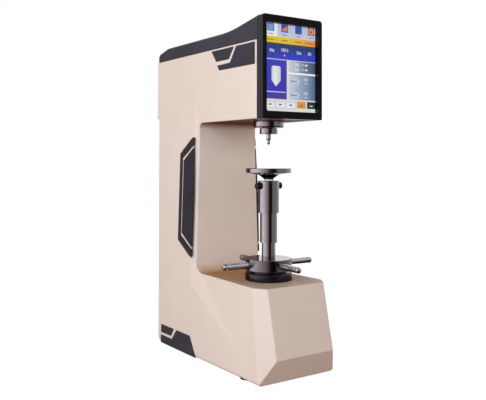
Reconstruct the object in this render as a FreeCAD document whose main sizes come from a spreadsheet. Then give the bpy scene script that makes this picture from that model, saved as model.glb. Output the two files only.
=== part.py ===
import FreeCAD, Part
import Sketcher
import math
import os
import re

# Bench hardness tester with a touch screen.
# X runs to the right, Y to the back, Z up. The origin is on the bench,
# under the middle of the footprint. All sizes are in millimetres.

SIZES = [
    # Stations along Y
    ("head_front_y", -193.7, "front face of the display bezel"),
    ("axis_y", -112.3, "axis of indenter, anvil and elevating screw"),
    ("column_front_y", 38.3, "front face of the column"),
    ("rear_y", 230.3, "rear face of the head"),
    ("rear_foot_y", 199.7, "rear face of the casting at the bench"),
    ("toe_y", -202.46, "front edge of the base at the bench"),
    ("nose_y", -230.36, "front edge of the base where the undercut starts"),
    ("brow_y", -201.6, "front edge of the base top"),
    # Heights
    ("foot_gap", 1.5, "height of the casting above the bench"),
    ("nose_z", 51.67, "height of the undercut edge"),
    ("base_top", 180.25, "top of the base"),
    ("head_under", 502.6, "underside of the head"),
    ("seam_z", 653.4, "joint between casting and top cover"),
    ("cover_height", 29.6, "height of the cover behind the display, above the joint"),
    ("display_rise", 17.4, "how much higher the cover is at the display"),
    ("rear_step_z", 520.0, "top of the leaning rear face"),
    ("lean_top_z", 572.8, "height where the leaning side meets the upright head side"),
    # Widths
    ("head_half", 73.4, "half width of the head"),
    ("side_lean", 19.0, "how far each side leans out at the bench"),
    ("brow_inset", 4.33, "how much narrower than the head the front face is at its top"),
    ("nose_inset", 4.55, "how much narrower than the head it is at the undercut"),
    ("cheek_inset", 1.1, "distance of the corner facet's upper end from the leaning side"),
    # Facets of the casting
    ("cheek_y", -174.92, "station of that corner"),
    ("base_flare", 0.04, "sideways flare of the base top per millimetre forward"),
    ("facet_y", 54.6, "station where the column corner facet starts"),
    ("facet_slope", 0.25, "inward slope of the column corner facet"),
    ("facet_foot_z", 153.0, "height where that facet ends on the side"),
    ("valley_y", -95.7, "station where the valley in the base side runs out"),
    ("valley_z", 75.0, "height where the valley runs out"),
    ("base_fillet", 20.0, "fillet between column and base top"),
    ("head_fillet", 12.0, "fillet between column and head"),
    ("edge_round", 2.5, "rounding of the long casting edges"),
    ("rear_round", 8.0, "rounding of the rear vertical edges"),
    ("heel_round", 12.0, "rounding of the lower rear edge"),
    # Casting walls and cores
    ("wall", 8.0, "wall of the casting"),
    ("base_core_inset", 11.4, "how much narrower than the head the core in the base is, each side"),
    ("base_core_front_y", -190.0, "front of the core in the base"),
    ("column_core_inset", 9.4, "how much narrower than the head the core in the column is"),
    ("hatch_inset", 17.4, "how much narrower than the head the rear opening is"),
    ("hatch_low", 34.0, "lower edge of the rear opening"),
    ("hatch_high", 500.0, "upper edge of the rear opening"),
    # Top cover
    ("cover_wall", 4.0, "wall of the top cover"),
    ("apron_depth", 20.5, "depth of the cover around the display"),
    ("cover_rise_y", -74.8, "station where the cover top starts to rise"),
    ("cover_rise_radius", 420.0, "radius of the hollow where the rise starts"),
    ("cover_tail_height", 14.6, "height of the cover's rear edge above the joint"),
    ("cover_tail_run", 44.0, "length of the rounded tail of the cover"),
    ("cover_tail_radius", 60.0, "radius where the tail starts"),
    ("cover_round", 6.0, "rounding along the top of the cover"),
    # Display
    ("screen_half", 64.5, "half width of the visible screen"),
    ("screen_low", 516.6, "lower edge of the visible screen"),
    ("screen_high", 685.4, "upper edge of the visible screen"),
    ("recess", 10.0, "depth of the screen below the bezel"),
    ("glass", 2.0, "thickness of the touch glass"),
    ("glass_lap", 1.5, "lap of the glass behind the bezel"),
    ("window_corner", 3.0, "corner radius of the screen window"),
    ("bezel_bevel", 1.0, "bevel round the bezel's front"),
    ("panel_depth", 8.0, "depth of the display panel"),
    ("board_half", 50.0, "half width of the control board"),
    ("board_height", 150.0, "height of the control board"),
    ("spacer_radius", 3.0, "radius of a board spacer"),
    ("board_gap", 6.0, "length of the spacers behind the display"),
    ("board", 1.6, "thickness of a circuit board"),
    # Trim
    ("side_panel", 5.0, "thickness of the raised column panels"),
    ("trim", 0.8, "thickness of the flat trim plates"),
    ("trim_gap", 4.0, "painted stripe between two trim pieces"),
    ("panel_front_y", 54.9, "front end of the column panels"),
    ("panel_back_y", 106.3, "rear edge of the outer panel"),
    ("panel_inner_back_y", 90.3, "rear edge of the inner panel"),
    ("panel_inner_high", 446.0, "top corner of the inner panel"),
    ("panel_inner_low", 240.0, "bottom corner of the inner panel"),
    ("panel_inner_back_high", 422.0, "top of the inner panel's rear edge"),
    ("panel_inner_back_low", 262.0, "bottom of the inner panel's rear edge"),
    ("trim_top_z", 650.0, "upper edge of the head trim"),
    ("trim_step_z", 626.7, "lower edge of the rear head trim"),
    ("trim_low_z", 607.5, "lower edge of the front head trim"),
    ("rear_trim_back_y", -11.3, "upper rear corner of the rear head trim"),
    ("rear_trim_front_y", -94.9, "upper front corner of the rear head trim"),
    ("rear_trim_toe_y", -77.0, "lower front corner of the rear head trim"),
    ("rear_trim_heel_y", -29.4, "lower rear corner of the rear head trim"),
    ("front_trim_y", -167.3, "front edge of the front head trim"),
    ("front_trim_top_y", -103.5, "upper rear corner of the front head trim"),
    ("front_trim_notch_y", -81.8, "inner corner of the front head trim"),
    ("front_trim_heel_y", -41.0, "lower rear corner of the front head trim"),
    ("front_trim_tip_y", -33.6, "rear tip of the front head trim"),
    ("front_trim_tip", 10.8, "height of that tip above the lower edge"),
    ("front_trim_notch", 11.9, "height of the inner corner above the lower edge"),
    ("base_trim_back_y", 180.6, "rear edge of the base trim"),
    ("base_trim_top", 43.6, "upper edge of the base trim"),
    ("base_trim_step", 25.7, "lower edge of the upper base trim"),
    ("base_trim_low", 2.0, "lower edge of the lower base trim"),
    ("base_trim_gap", 6.0, "painted stripe between the two base trims"),
    ("upper_trim_y", 120.9, "upper front corner of the upper base trim"),
    ("upper_trim_toe_y", 133.8, "lower front corner of the upper base trim"),
    ("lower_trim_notch_y", 129.2, "inner corner of the lower base trim"),
    ("lower_trim_top_y", 109.3, "upper rear corner of the lower base trim"),
    ("lower_trim_y", 51.1, "upper front corner of the lower base trim"),
    ("lower_trim_toe_y", 22.2, "lower front corner of the lower base trim"),
    ("panel_high", 471.6, "top corner of the column panel"),
    ("panel_low", 215.4, "bottom corner of the column panel"),
    ("panel_back_high", 437.0, "top of the panel's rear edge"),
    ("panel_back_low", 246.0, "bottom of the panel's rear edge"),
    # Rear
    ("cover_plate", 3.0, "thickness of the rear cover"),
    ("cover_plate_low", 14.0, "lower edge of the rear cover"),
    ("plate_screw", 3.0, "radius of the rear cover screw heads"),
    ("socket_z", 78.0, "height of the mains inlet and switch"),
    ("socket_x", 31.0, "distance of inlet and switch from the middle"),
    ("inlet_width", 28.0, "width of the mains inlet body"),
    ("inlet_height", 21.0, "height of the mains inlet body"),
    ("inlet_depth", 24.0, "depth of the mains inlet body"),
    ("socket_rim", 3.5, "rim of inlet and switch around the cut-out"),
    ("rim_plate", 2.0, "thickness of that rim"),
    ("switch_width", 15.0, "width of the rocker"),
    ("switch_height", 22.0, "height of the rocker"),
    ("switch_wall", 2.0, "wall of the switch frame"),
    ("rocker_depth", 3.0, "depth of the rocker's axis behind the cover"),
    ("hatch_lap", 12.0, "lap of the rear cover beside the opening"),
    ("vent_half", 30.0, "half length of a vent slot"),
    ("vent_width", 3.0, "width of a vent slot"),
    ("vent_z", 400.0, "height of the lowest vent slot"),
    ("pin_wide", 2.0, "width of a mains pin"),
    ("pin_high", 4.0, "height of a mains pin"),
    ("pin_length", 12.0, "length of a mains pin"),
    ("port_width", 14.0, "width of the data port"),
    ("port_height", 7.0, "height of the data port"),
    ("fit_gap", 0.3, "clearance round a piece in its cut-out"),
    ("running_gap", 0.05, "radial clearance of a turning or sliding fit"),
    # Feet
    ("foot_radius", 12.0, "radius of a rubber foot"),
    ("foot_height", 7.5, "height of a rubber foot"),
    ("foot_front_y", -145.0, "station of the front feet"),
    ("foot_rear_y", 165.0, "station of the rear feet"),
    ("foot_inset", 14.9, "distance of the feet's middle from the base's side"),
    # Handwheel and its bearing
    ("flange_radius", 47.8, "radius of the bearing flange"),
    ("flange_height", 15.2, "height of the bearing flange"),
    ("neck_radius", 37.0, "radius of the flange neck under the hub"),
    ("neck_height", 3.8, "height of that neck"),
    ("spigot_radius", 30.0, "radius of the flange spigot in the casting"),
    ("washer_radius", 32.0, "radius of the thrust washer"),
    ("washer", 3.0, "thickness of the thrust washer"),
    ("washer_proud", 0.7, "height of the washer above the flange"),
    ("hub_radius", 47.5, "radius of the handwheel hub"),
    ("hub_height", 23.4, "height of the handwheel hub"),
    ("hub_rim", 2.0, "height of the hub's two rims"),
    ("hub_waist", 40.0, "radius of the hub at its waist"),
    ("rod_radius", 6.25, "radius of a handle rod"),
    ("rod_reach", 107.4, "distance of the rod ends from the axis"),
    ("rod_spigot", 4.0, "radius of the rod's end in the hub"),
    ("rod_neck", 4.9, "radius of the neck before the rod's ball end"),
    ("rod_root", 26.0, "distance of the rod's inner end from the axis"),
    ("rod_ball", 14.0, "length of the rod's ball end"),
    ("hub_soft", 1.2, "rounding of the hub's rims"),
    ("rod_turn", -3.0, "angle of the first rod from +X"),
    ("nut_radius", 19.0, "radius of the elevating nut"),
    ("nut_height", 16.0, "height of the elevating nut"),
    # Elevating screw and sleeves
    ("screw_radius", 11.0, "radius of the elevating screw"),
    ("keyway_top", 240.0, "upper end of the keyway"),
    ("spigot_depth", 16.0, "depth of the flange spigot below the base top"),
    ("knob_soft", 1.0, "rounding of a knob screw's head"),
    ("anvil_bevel", 0.6, "bevel of the anvil's edge"),
    ("screw_low", 105.0, "lower end of the elevating screw"),
    ("key_half", 3.0, "half width of the key"),
    ("key_depth", 3.0, "depth of the keyway"),
    ("bush_radius", 25.0, "radius of the screw's guide bush"),
    ("bush_height", 45.0, "height of the guide bush"),
    ("lower_sleeve_radius", 14.05, "outer radius of the lower sleeve"),
    ("lower_sleeve_top", 295.0, "top of the lower sleeve"),
    ("middle_sleeve_radius", 17.75, "outer radius of the middle sleeve"),
    ("middle_sleeve_low", 255.3, "bottom of the middle sleeve"),
    ("middle_sleeve_length", 88.0, "length of the middle sleeve"),
    ("upper_sleeve_radius", 21.6, "outer radius of the upper sleeve"),
    ("upper_sleeve_low", 315.7, "bottom of the upper sleeve"),
    ("upper_sleeve_top", 381.0, "top of the upper sleeve"),
    ("sleeve_wall", 2.6, "wall of a sleeve"),
    ("sleeve_lip", 2.0, "height of a sleeve's stop lip"),
    ("sleeve_cap", 3.0, "thickness of the upper sleeve's end"),
    ("knob_radius", 6.85, "radius of a knob screw's head"),
    ("knob_length", 9.0, "length of a knob screw's head"),
    ("knob_stem", 3.0, "radius of a knob screw's stem"),
    ("knob_z", 370.5, "height of the knob screws"),
    ("anvil_radius", 46.3, "radius of the anvil"),
    ("anvil_top", 406.1, "working face of the anvil"),
    ("anvil_disc", 9.1, "thickness of the anvil's disc"),
    ("anvil_cone", 11.9, "height of the anvil's hollow cone"),
    ("anvil_neck", 10.0, "radius of the anvil's neck"),
    ("anvil_stem", 6.0, "radius of the anvil's stem"),
    ("anvil_stem_length", 20.0, "length of the anvil's stem"),
    # Spindle
    ("collar_radius", 31.1, "radius of the spindle collar"),
    ("collar_low", 488.0, "underside of the spindle collar"),
    ("collar_spigot", 22.0, "radius of the collar's spigot in the casting"),
    ("nose_radius", 18.25, "radius of the spindle nose"),
    ("nose_low", 475.3, "underside of the spindle nose"),
    ("spindle_radius", 12.0, "radius of the spindle shaft"),
    ("collar_length", 14.0, "length of the collar above the head's underside"),
    ("collar_soft", 3.0, "rounding of the collar's lower edge"),
    ("nose_bevel", 0.8, "bevel of the spindle nose"),
    ("holder_spigot", 3.2, "radius of the indenter's end in the nose"),
    ("holder_seat", 18.0, "depth of the indenter's hole in the nose"),
    ("spindle_gap", 0.4, "gap between nose and collar at rest"),
    ("spindle_top", 560.0, "top of the spindle shaft"),
    ("holder_radius", 5.1, "radius of the indenter's holder"),
    ("holder_length", 9.7, "length of the holder below the nose"),
    ("holder_taper", 2.8, "length of the holder's taper"),
    ("shank_radius", 3.3, "radius of the indenter's shank"),
    ("tip_drop", 22.0, "distance of the indenter's point below the spindle nose"),
    ("tip_cone", 2.2, "length of the diamond cone"),
    ("clamp_radius", 2.5, "radius of the indenter's clamp screw"),
    # Loading drive in the head
    ("frame_gap", 3.4, "gap between the loading frame and the walls of the head"),
    ("frame_plate", 8.0, "thickness of the frame's plates"),
    ("frame_front", 34.0, "reach of the frame in front of the axis"),
    ("frame_back", 34.0, "reach of the frame behind the axis"),
    ("frame_top", 650.0, "top of the loading frame"),
    ("cell_radius", 20.0, "radius of the load cell"),
    ("cell_height", 30.0, "height of the load cell"),
    ("carriage_gap", 2.0, "gap between the carriage and the loading frame"),
    ("carriage_depth", 20.0, "half depth of the carriage"),
    ("carriage", 14.0, "thickness of the carriage"),
    ("ball_nut_radius", 16.0, "radius of the ball nut"),
    ("ball_nut_height", 26.0, "height of the ball nut"),
    ("ball_screw_radius", 8.0, "radius of the ball screw"),
    ("ball_screw_neck", 6.0, "radius of the ball screw's neck"),
    ("guide_inset", 12.0, "distance of the guide rods from the carriage's sides"),
    ("guide_radius", 6.0, "radius of a guide rod"),
    ("pulley_radius", 24.0, "radius of the driven pulley"),
    ("pulley_height", 10.0, "height of a pulley"),
    ("motor_pulley_radius", 10.0, "radius of the motor's pulley"),
    ("motor_y", -12.0, "station of the motor's shaft"),
    ("motor_half", 28.5, "half width of the motor"),
    ("motor_height", 60.0, "height of the motor"),
    ("motor_shaft", 4.0, "radius of the motor's shaft"),
    ("belt", 2.0, "thickness of the belt"),
    ("belt_height", 8.0, "width of the belt"),
    ("belt_gap", 0.3, "clearance between belt and pulley"),
    ("scale_width", 14.0, "width of the displacement sensor"),
    ("scale_height", 60.0, "height of the displacement sensor"),
    # Power supply in the column
    ("supply_half", 50.0, "half width of the power supply"),
    ("supply_depth", 45.0, "depth of the power supply"),
    ("supply_low", 260.0, "underside of the power supply"),
    ("supply_height", 150.0, "height of the power supply"),
]

doc = FreeCAD.newDocument("hardness_tester")
sheet = doc.addObject("Spreadsheet::Sheet", "Sizes")
for row, (alias, value, note) in enumerate(SIZES, 1):
    sheet.set(f"A{row}", note)
    sheet.set(f"B{row}", str(value))
    sheet.setAlias(f"B{row}", alias)
doc.recompute()
probe = doc.addObject("Part::Box", "Probe")
ALIASES = {alias for alias, value, note in SIZES}
nodes = {}

# Widths that follow from others
BASE_HALF = "(head_half + side_lean)"
HATCH_HALF = "(head_half - hatch_inset)"
FOOT_X = "(head_half + side_lean - foot_inset)"
FRAME_HALF = "(head_half - wall - frame_gap)"
CARRIAGE_HALF = "(head_half - wall - frame_gap - frame_plate - carriage_gap)"
GUIDE_X = "(head_half - wall - frame_gap - frame_plate - carriage_gap - guide_inset)"

# Heights that follow from others
PLATEAU = "(seam_z + cover_height)"
HEAD_TOP = "(seam_z + cover_height + display_rise)"
COVER_TAIL = "(seam_z + cover_tail_height)"
TIP_Z = "(nose_low - tip_drop)"


def cells(text):
    """Turns the names in a formula into references to the sheet."""
    return re.sub(r"[a-z][a-z_0-9]*", lambda m: "Sizes." + m[0] if m[0] in ALIASES else m[0], text)


def size(formula):
    """The number that a size, or a formula of sizes, gives."""
    return float(probe.evalExpression(cells(formula)))


def bind(thing, **formulas):
    for name, text in formulas.items():
        thing.setExpression(name, cells(text))


def place(thing, x="0", y="0", z="0"):
    for axis, text in zip("xyz", (x, y, z)):
        thing.setExpression("Placement.Base." + axis, cells(text))


def keep(label, thing):
    thing.Label = label
    nodes[label] = thing
    return thing


def polygon_sketch(body, plane, outline, circles=()):
    """A closed outline on an origin plane of its body, each corner held by two formulas."""
    sketch = body.newObject("Sketcher::SketchObject", "Outline")
    origin_plane = [f for f in body.Origin.OriginFeatures if f.Role == plane][0]
    sketch.AttachmentSupport = (origin_plane, "")
    sketch.MapMode = "FlatFace"
    count = len(outline)
    turn = 2 * math.pi / count
    corners = [FreeCAD.Vector(50 * math.cos(i * turn), 50 * math.sin(i * turn), 0) for i in range(count)]
    for i in range(count):
        sketch.addGeometry(Part.LineSegment(corners[i], corners[(i + 1) % count]), False)
    for i in range(count):
        sketch.addConstraint(Sketcher.Constraint("Coincident", i, 2, (i + 1) % count, 1))
    for i, (across, up) in enumerate(outline):
        for kind, text, now in (("DistanceX", across, corners[i].x), ("DistanceY", up, corners[i].y)):
            number = sketch.addConstraint(Sketcher.Constraint(kind, -1, 1, i, 1, now))
            sketch.setExpression(f"Constraints[{number}]", cells(text))
    for across, up, radius in circles:
        ring = sketch.addGeometry(Part.Circle(FreeCAD.Vector(7, 7, 0), FreeCAD.Vector(0, 0, 1), 3), False)
        for kind, text, now in (("DistanceX", across, 7), ("DistanceY", up, 7)):
            number = sketch.addConstraint(Sketcher.Constraint(kind, -1, 1, ring, 3, now))
            sketch.setExpression(f"Constraints[{number}]", cells(text))
        number = sketch.addConstraint(Sketcher.Constraint("Radius", ring, 3))
        sketch.setExpression(f"Constraints[{number}]", cells(radius))
    return sketch


def turned_blank(label, outline, x="0", y="axis_y", z="0"):
    """A turned form: (radius, height) corners spun about an upright axis."""
    body = doc.addObject("PartDesign::Body", label)
    sketch = polygon_sketch(body, "XZ_Plane", outline)
    spin = body.newObject("PartDesign::Revolution", "Turning")
    spin.Profile = sketch
    spin.ReferenceAxis = (sketch, ["V_Axis"])
    spin.Angle = 360
    place(body, x, y, z)
    return body


def turned(label, outline, x="0", y="axis_y", z="0"):
    return keep(label, turned_blank(label, outline, x, y, z))


def plate(label, outline, thickness, circles=(), x="0", y="0", z="0"):
    """A level plate cut to an outline in X and Y, with round holes."""
    body = doc.addObject("PartDesign::Body", label)
    sketch = polygon_sketch(body, "XY_Plane", outline, circles)
    pad = body.newObject("PartDesign::Pad", "Plate")
    pad.Profile = sketch
    bind(pad, Length=thickness)
    place(body, x, y, z)
    return body


def block(label, length, width, height, x, y, z):
    box = doc.addObject("Part::Box", label)
    bind(box, Length=length, Width=width, Height=height)
    place(box, x, y, z)
    return box


def cylinder(label, radius, height, x="0", y="axis_y", z="0"):
    rod = doc.addObject("Part::Cylinder", label)
    bind(rod, Radius=radius, Height=height)
    place(rod, x, y, z)
    return rod


def fuse(label, pieces):
    joined = doc.addObject("Part::MultiFuse", label)
    joined.Shapes = pieces
    return joined


def cut(label, base, tools):
    cutter = tools[0] if len(tools) == 1 else fuse(label + "_tools", tools)
    trimmed = doc.addObject("Part::Cut", label)
    trimmed.Base = base
    trimmed.Tool = cutter
    return trimmed


def group(label, pieces):
    bundle = doc.addObject("Part::Compound", label)
    bundle.Links = pieces
    return keep(label, bundle)


def mirrored(label, source):
    other = doc.addObject("Part::Mirroring", label)
    other.Source = source
    other.Normal = (1, 0, 0)
    return keep(label, other)


def feature(label, shape):
    thing = doc.addObject("Part::Feature", label)
    thing.Shape = shape
    return thing


def vec(x, y, z):
    return FreeCAD.Vector(x, y, z)


def face_of(points):
    return Part.Face(Part.makePolygon(points + points[:1]))


def rounded_wire(points, radii):
    """A closed wire through points whose corners are rounded by the given radii."""
    edges = []
    starts = []
    ends = []
    arcs = []
    count = len(points)
    for i, (corner, radius) in enumerate(zip(points, radii)):
        before = (points[i - 1] - corner).normalize()
        after = (points[(i + 1) % count] - corner).normalize()
        if radius == 0:
            starts.append(corner)
            ends.append(corner)
            arcs.append(None)
            continue
        half = before.getAngle(after) / 2
        reach = radius / math.tan(half)
        middle = corner + (before + after).normalize() * (radius / math.sin(half) - radius)
        starts.append(corner + before * reach)
        ends.append(corner + after * reach)
        arcs.append(Part.Arc(starts[i], middle, ends[i]).toShape())
    for i in range(count):
        if arcs[i]:
            edges.append(arcs[i])
        following = starts[(i + 1) % count]
        if ends[i].distanceToPoint(following) > 1e-6:
            edges.append(Part.LineSegment(ends[i], following).toShape())
    return Part.Wire(edges)


def side_extrusion(points, radii, half):
    """A solid of the given side view (Y, Z), as wide as twice half."""
    corners = [vec(-half, y, z) for y, z in points]
    return Part.Face(rounded_wire(corners, radii)).extrude(vec(2 * half, 0, 0))


# Body casting: the side view of a C, leaning sides, facets and cores

LEAN = size("side_lean") / size("lean_top_z")


def side_x(z):
    """Half width of the leaning side at a height."""
    return size(BASE_HALF) - LEAN * z


def facet_x(y, z):
    """Half width on the facet at the column's front corner."""
    return side_x(z) - size("facet_slope") * (size("facet_y") - y)


def rear_line_y(z):
    """Station of the casting's leaning rear face at a height."""
    top = size("rear_y") - size("cover_plate")
    return size("rear_foot_y") + (top - size("rear_foot_y")) * z / size("rear_step_z")


def casting_outline():
    low = size("foot_gap")
    apron_y = size("head_front_y") + size("apron_depth")
    toe = size("toe_y") + (size("nose_y") - size("toe_y")) * low / size("nose_z")
    points = [
        (toe, low), (size("nose_y"), size("nose_z")), (size("brow_y"), size("base_top")),
        (size("column_front_y"), size("base_top")), (size("column_front_y"), size("head_under")),
        (apron_y, size("head_under")), (apron_y, size("seam_z")), (size("rear_y"), size("seam_z")),
        (size("rear_y"), size("rear_step_z")), (rear_line_y(size("rear_step_z")), size("rear_step_z")),
        (rear_line_y(low), low)]
    radii = [0, 0, 0, size("base_fillet"), size("head_fillet"), 0, 0, 0, 0, 0, size("heel_round")]
    return points, radii


def front_view():
    """The casting's front view, which gives both leaning sides."""
    left = [(-size(BASE_HALF), 0), (-size("head_half"), size("lean_top_z")),
            (-size("head_half"), size("seam_z") + 1)]
    points = left + [(-x, z) for x, z in reversed(left)]
    start = size("nose_y") - 1
    outline = face_of([vec(x, start, z) for x, z in points])
    return outline.extrude(vec(0, size("rear_y") + 1 - start, 0))


def side_cutters():
    """Solids that cut the facets on the -X side."""
    outward = vec(-60, 0, 0)
    front = size("nose_y") - 1
    top = size("base_top")
    apex = (size("facet_y"), size("lean_top_z"))
    foot = (size("facet_y"), size("facet_foot_z"))
    slope = size("facet_slope")
    flare = size("base_flare")
    cheek_half = side_x(top) - size("cheek_inset")
    cheek_line = cheek_half + flare * size("cheek_y")
    join_y = (cheek_line - side_x(top) + slope * size("facet_y")) / (slope + flare)
    join_half = cheek_line - flare * join_y
    run_out_z = (size("side_lean") - slope * (size("facet_y") - join_y)) / LEAN
    facet = [vec(-facet_x(y, z), y, z) for y, z in (apex, foot, (join_y, top), (join_y, run_out_z))]
    head = [vec(-size("head_half"), y, z) for y, z in
            (apex, (join_y, run_out_z), (front, run_out_z), (front, size("lean_top_z")))]
    join = vec(-join_half, join_y, top)
    valley = vec(-side_x(size("valley_z")), size("valley_y"), size("valley_z"))
    triangle = [facet[1], join, valley]
    brow = vec(-size("head_half - brow_inset"), size("brow_y"), top)
    nose = vec(-size("head_half - nose_inset"), size("nose_y"), size("nose_z"))
    cheek = vec(-cheek_half, size("cheek_y"), top)
    normal = (nose - brow).cross(cheek - brow)
    toe_y = brow.y + (normal.x * (brow.x + size(BASE_HALF)) + normal.z * top) / normal.y
    toe = vec(-size(BASE_HALF), toe_y, 0)
    extra = 1.05
    patch = Part.makeRuledSurface(
        Part.LineSegment(valley, toe).toShape(),
        Part.LineSegment(valley + (join - valley) * extra, toe + (cheek - toe) * extra).toShape())
    along = (cheek - toe).normalize()
    across = normal.cross(along).normalize()
    corner = face_of([toe - along * 20 - across * 10, toe - along * 20 + across * 90,
                      cheek + along * 8 + across * 90, cheek + along * 8 - across * 10])
    away = vec(normal.x, normal.y, normal.z).normalize()
    if away.x > 0:
        away = away * -1
    cutters = [face_of(facet).extrude(outward), face_of(head).extrude(outward),
               face_of(triangle).extrude(outward), patch.extrude(outward), corner.extrude(away * 60)]
    return cutters


def casting_cores():
    """The hollow inside: base, column and head, open below, behind, above and in front."""
    wall = size("wall")
    low = size("foot_gap") - 1
    head_floor = size("head_under") + wall
    inner_front = size("column_front_y") + wall
    base_half = size("head_half - base_core_inset")
    base = Part.makeBox(2 * base_half, inner_front + 20 - size("base_core_front_y"),
                        size("base_top") - wall - low, vec(-base_half, size("base_core_front_y"), low))
    half = size("head_half - column_core_inset")
    column_points = [(inner_front, low), (rear_line_y(0) - 2 * wall, low),
                     (rear_line_y(head_floor) - 2 * wall, head_floor + 1), (inner_front, head_floor + 1)]
    column = side_extrusion(column_points, [0, 0, 0, 0], half)
    head_half = size("head_half") - wall
    head = Part.makeBox(2 * head_half, size("rear_y") - wall - size("head_front_y"),
                        size("seam_z") + 1 - head_floor, vec(-head_half, size("head_front_y"), head_floor))
    hatch_half = size(HATCH_HALF)
    hatch = Part.makeBox(2 * hatch_half, 80, size("hatch_high") - size("hatch_low"),
                         vec(-hatch_half, size("rear_foot_y") - 3 * wall, size("hatch_low")))
    return [base, column, head, hatch]


def upright(radius, low, high, x, y):
    return Part.makeCylinder(radius, high - low, vec(x, y, low))


def casting_holes():
    """Bores for the flange spigot, the spindle collar and the feet."""
    axis = size("axis_y")
    gap = size("fit_gap")
    wall = size("wall")
    holes = [
        upright(size("spigot_radius") + gap, size("base_top") - wall - 1, size("base_top") + 1, 0, axis),
        upright(size("collar_spigot") + gap, size("head_under") - 1, size("head_under") + wall + 1, 0, axis)]
    for x in (-size(FOOT_X), size(FOOT_X)):
        for y in (size("foot_front_y"), size("foot_rear_y")):
            holes.append(upright(size("foot_radius") + gap, 0, size("foot_height"), x, y))
    return holes


def is_rear_corner(edge):
    """Tells the long upright edges at the back from all others."""
    middle = edge.valueAt((edge.FirstParameter + edge.LastParameter) / 2)
    span = edge.Vertexes[0].Point - edge.Vertexes[-1].Point
    return abs(span.z) > 0.95 * span.Length > 95 and middle.y > size("rear_foot_y") - 30


def casting_shape():
    points, radii = casting_outline()
    solid = side_extrusion(points, radii, size(BASE_HALF) + 1).common(front_view())
    for cutter in side_cutters():
        solid = solid.cut(cutter)
        solid = solid.cut(cutter.mirror(vec(0, 0, 0), vec(1, 0, 0)))
    solid = solid.removeSplitter()
    rear = [edge for edge in solid.Edges if is_rear_corner(edge)]
    solid = solid.makeFillet(size("rear_round"), rear)
    return solid.cut(casting_cores() + casting_holes())


keep("body_casting", feature("body_casting", casting_shape()))

# Top cover


def cover_shape():
    """The cap over the head: a stepped side view, hollow below, with soft long edges."""
    front = size("head_front_y") + size("apron_depth")
    low = size("seam_z") + size("fit_gap")
    tail_y = size("rear_y") - size("cover_tail_run")
    points = [(front, low), (front, size(HEAD_TOP)), (size("cover_rise_y"), size(PLATEAU)),
              (tail_y, size(PLATEAU)), (size("rear_y") - 6, size(COVER_TAIL) + 6),
              (size("rear_y"), size(COVER_TAIL)), (size("rear_y"), low)]
    solid = side_extrusion(points, [0, 0, size("cover_rise_radius"), size("cover_tail_radius"), 5, 5, 0],
                           size("head_half"))
    edges = [edge for edge in solid.Edges if on_cover_rim(edge, low)]
    solid = solid.makeFillet(size("cover_round"), edges)
    wall = size("cover_wall")
    hollows = [Part.makeBox(2 * (size("head_half") - wall), back_y - wall - front + 1,
                            top_z - wall - low + 1, vec(wall - size("head_half"), front - 1, low - 1))
               for back_y, top_z in ((tail_y, size(PLATEAU)), (size("rear_y"), size(COVER_TAIL)))]
    return solid.cut(hollows)


def on_cover_rim(edge, low):
    """Finds the edges that run along both sides of the cover's top."""
    ends = [vertex.Point for vertex in edge.Vertexes]
    same_side = abs(ends[0].x - ends[-1].x) < 0.01
    upper = min(end.z for end in ends) > low + 1
    return same_side and upper and len(ends) > 1


keep("top_cover", feature("top_cover", cover_shape()))


# Display: bezel, glass, panel and main board

def bezel_shape():
    """The frame round the screen: recessed window in front, pocket for glass and panel behind."""
    half = size("head_half")
    front = size("head_front_y")
    back = front + size("apron_depth") - size("fit_gap")
    top = size(HEAD_TOP)
    corner = size("cover_round")
    points = [vec(x, front, z) for x, z in
              ((-half, size("head_under")), (-half, top), (half, top), (half, size("head_under")))]
    solid = Part.Face(rounded_wire(points, [corner / 3, corner, corner, corner / 3]))
    solid = solid.extrude(vec(0, back - front, 0))
    wide = size("screen_half")
    low = size("screen_low")
    high = size("screen_high")
    window = Part.makeBox(2 * wide, back - front, high - low, vec(-wide, front - 1, low))
    window = window.makeFillet(size("window_corner"), [e for e in window.Edges if is_along_y(e)])
    lap = size("glass_lap") + size("fit_gap")
    pocket_front = front + size("recess")
    pocket = Part.makeBox(2 * (wide + lap), back - pocket_front + 1, high - low + 2 * lap,
                          vec(-wide - lap, pocket_front, low - lap))
    solid = solid.cut([window, pocket])
    rim = [e for e in solid.Edges if lies_on_front(e, front)]
    return solid.makeChamfer(size("bezel_bevel"), rim)


def is_along_y(edge):
    ends = [vertex.Point for vertex in edge.Vertexes]
    return abs(ends[0].y - ends[-1].y) > 0.9 * edge.Length


def lies_on_front(edge, front):
    """Finds the outer outline of the bezel's front face."""
    wide = size("screen_half") + 1
    high = size("screen_high") + 1
    low = size("screen_low") - 1
    middle = edge.valueAt((edge.FirstParameter + edge.LastParameter) / 2)
    outside = abs(middle.x) > wide or middle.z > high or middle.z < low
    return outside and all(abs(vertex.Y - front) < 0.01 for vertex in edge.Vertexes)


keep("display_bezel", feature("display_bezel", bezel_shape()))

GLASS_Y = "head_front_y + recess"
GLASS_X = "-screen_half - glass_lap"
GLASS_Z = "screen_low - glass_lap"
GLASS_LENGTH = "2 * (screen_half + glass_lap)"
GLASS_HEIGHT = "screen_high - screen_low + 2 * glass_lap"
PANEL_BACK = GLASS_Y + " + glass + panel_depth"

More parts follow.
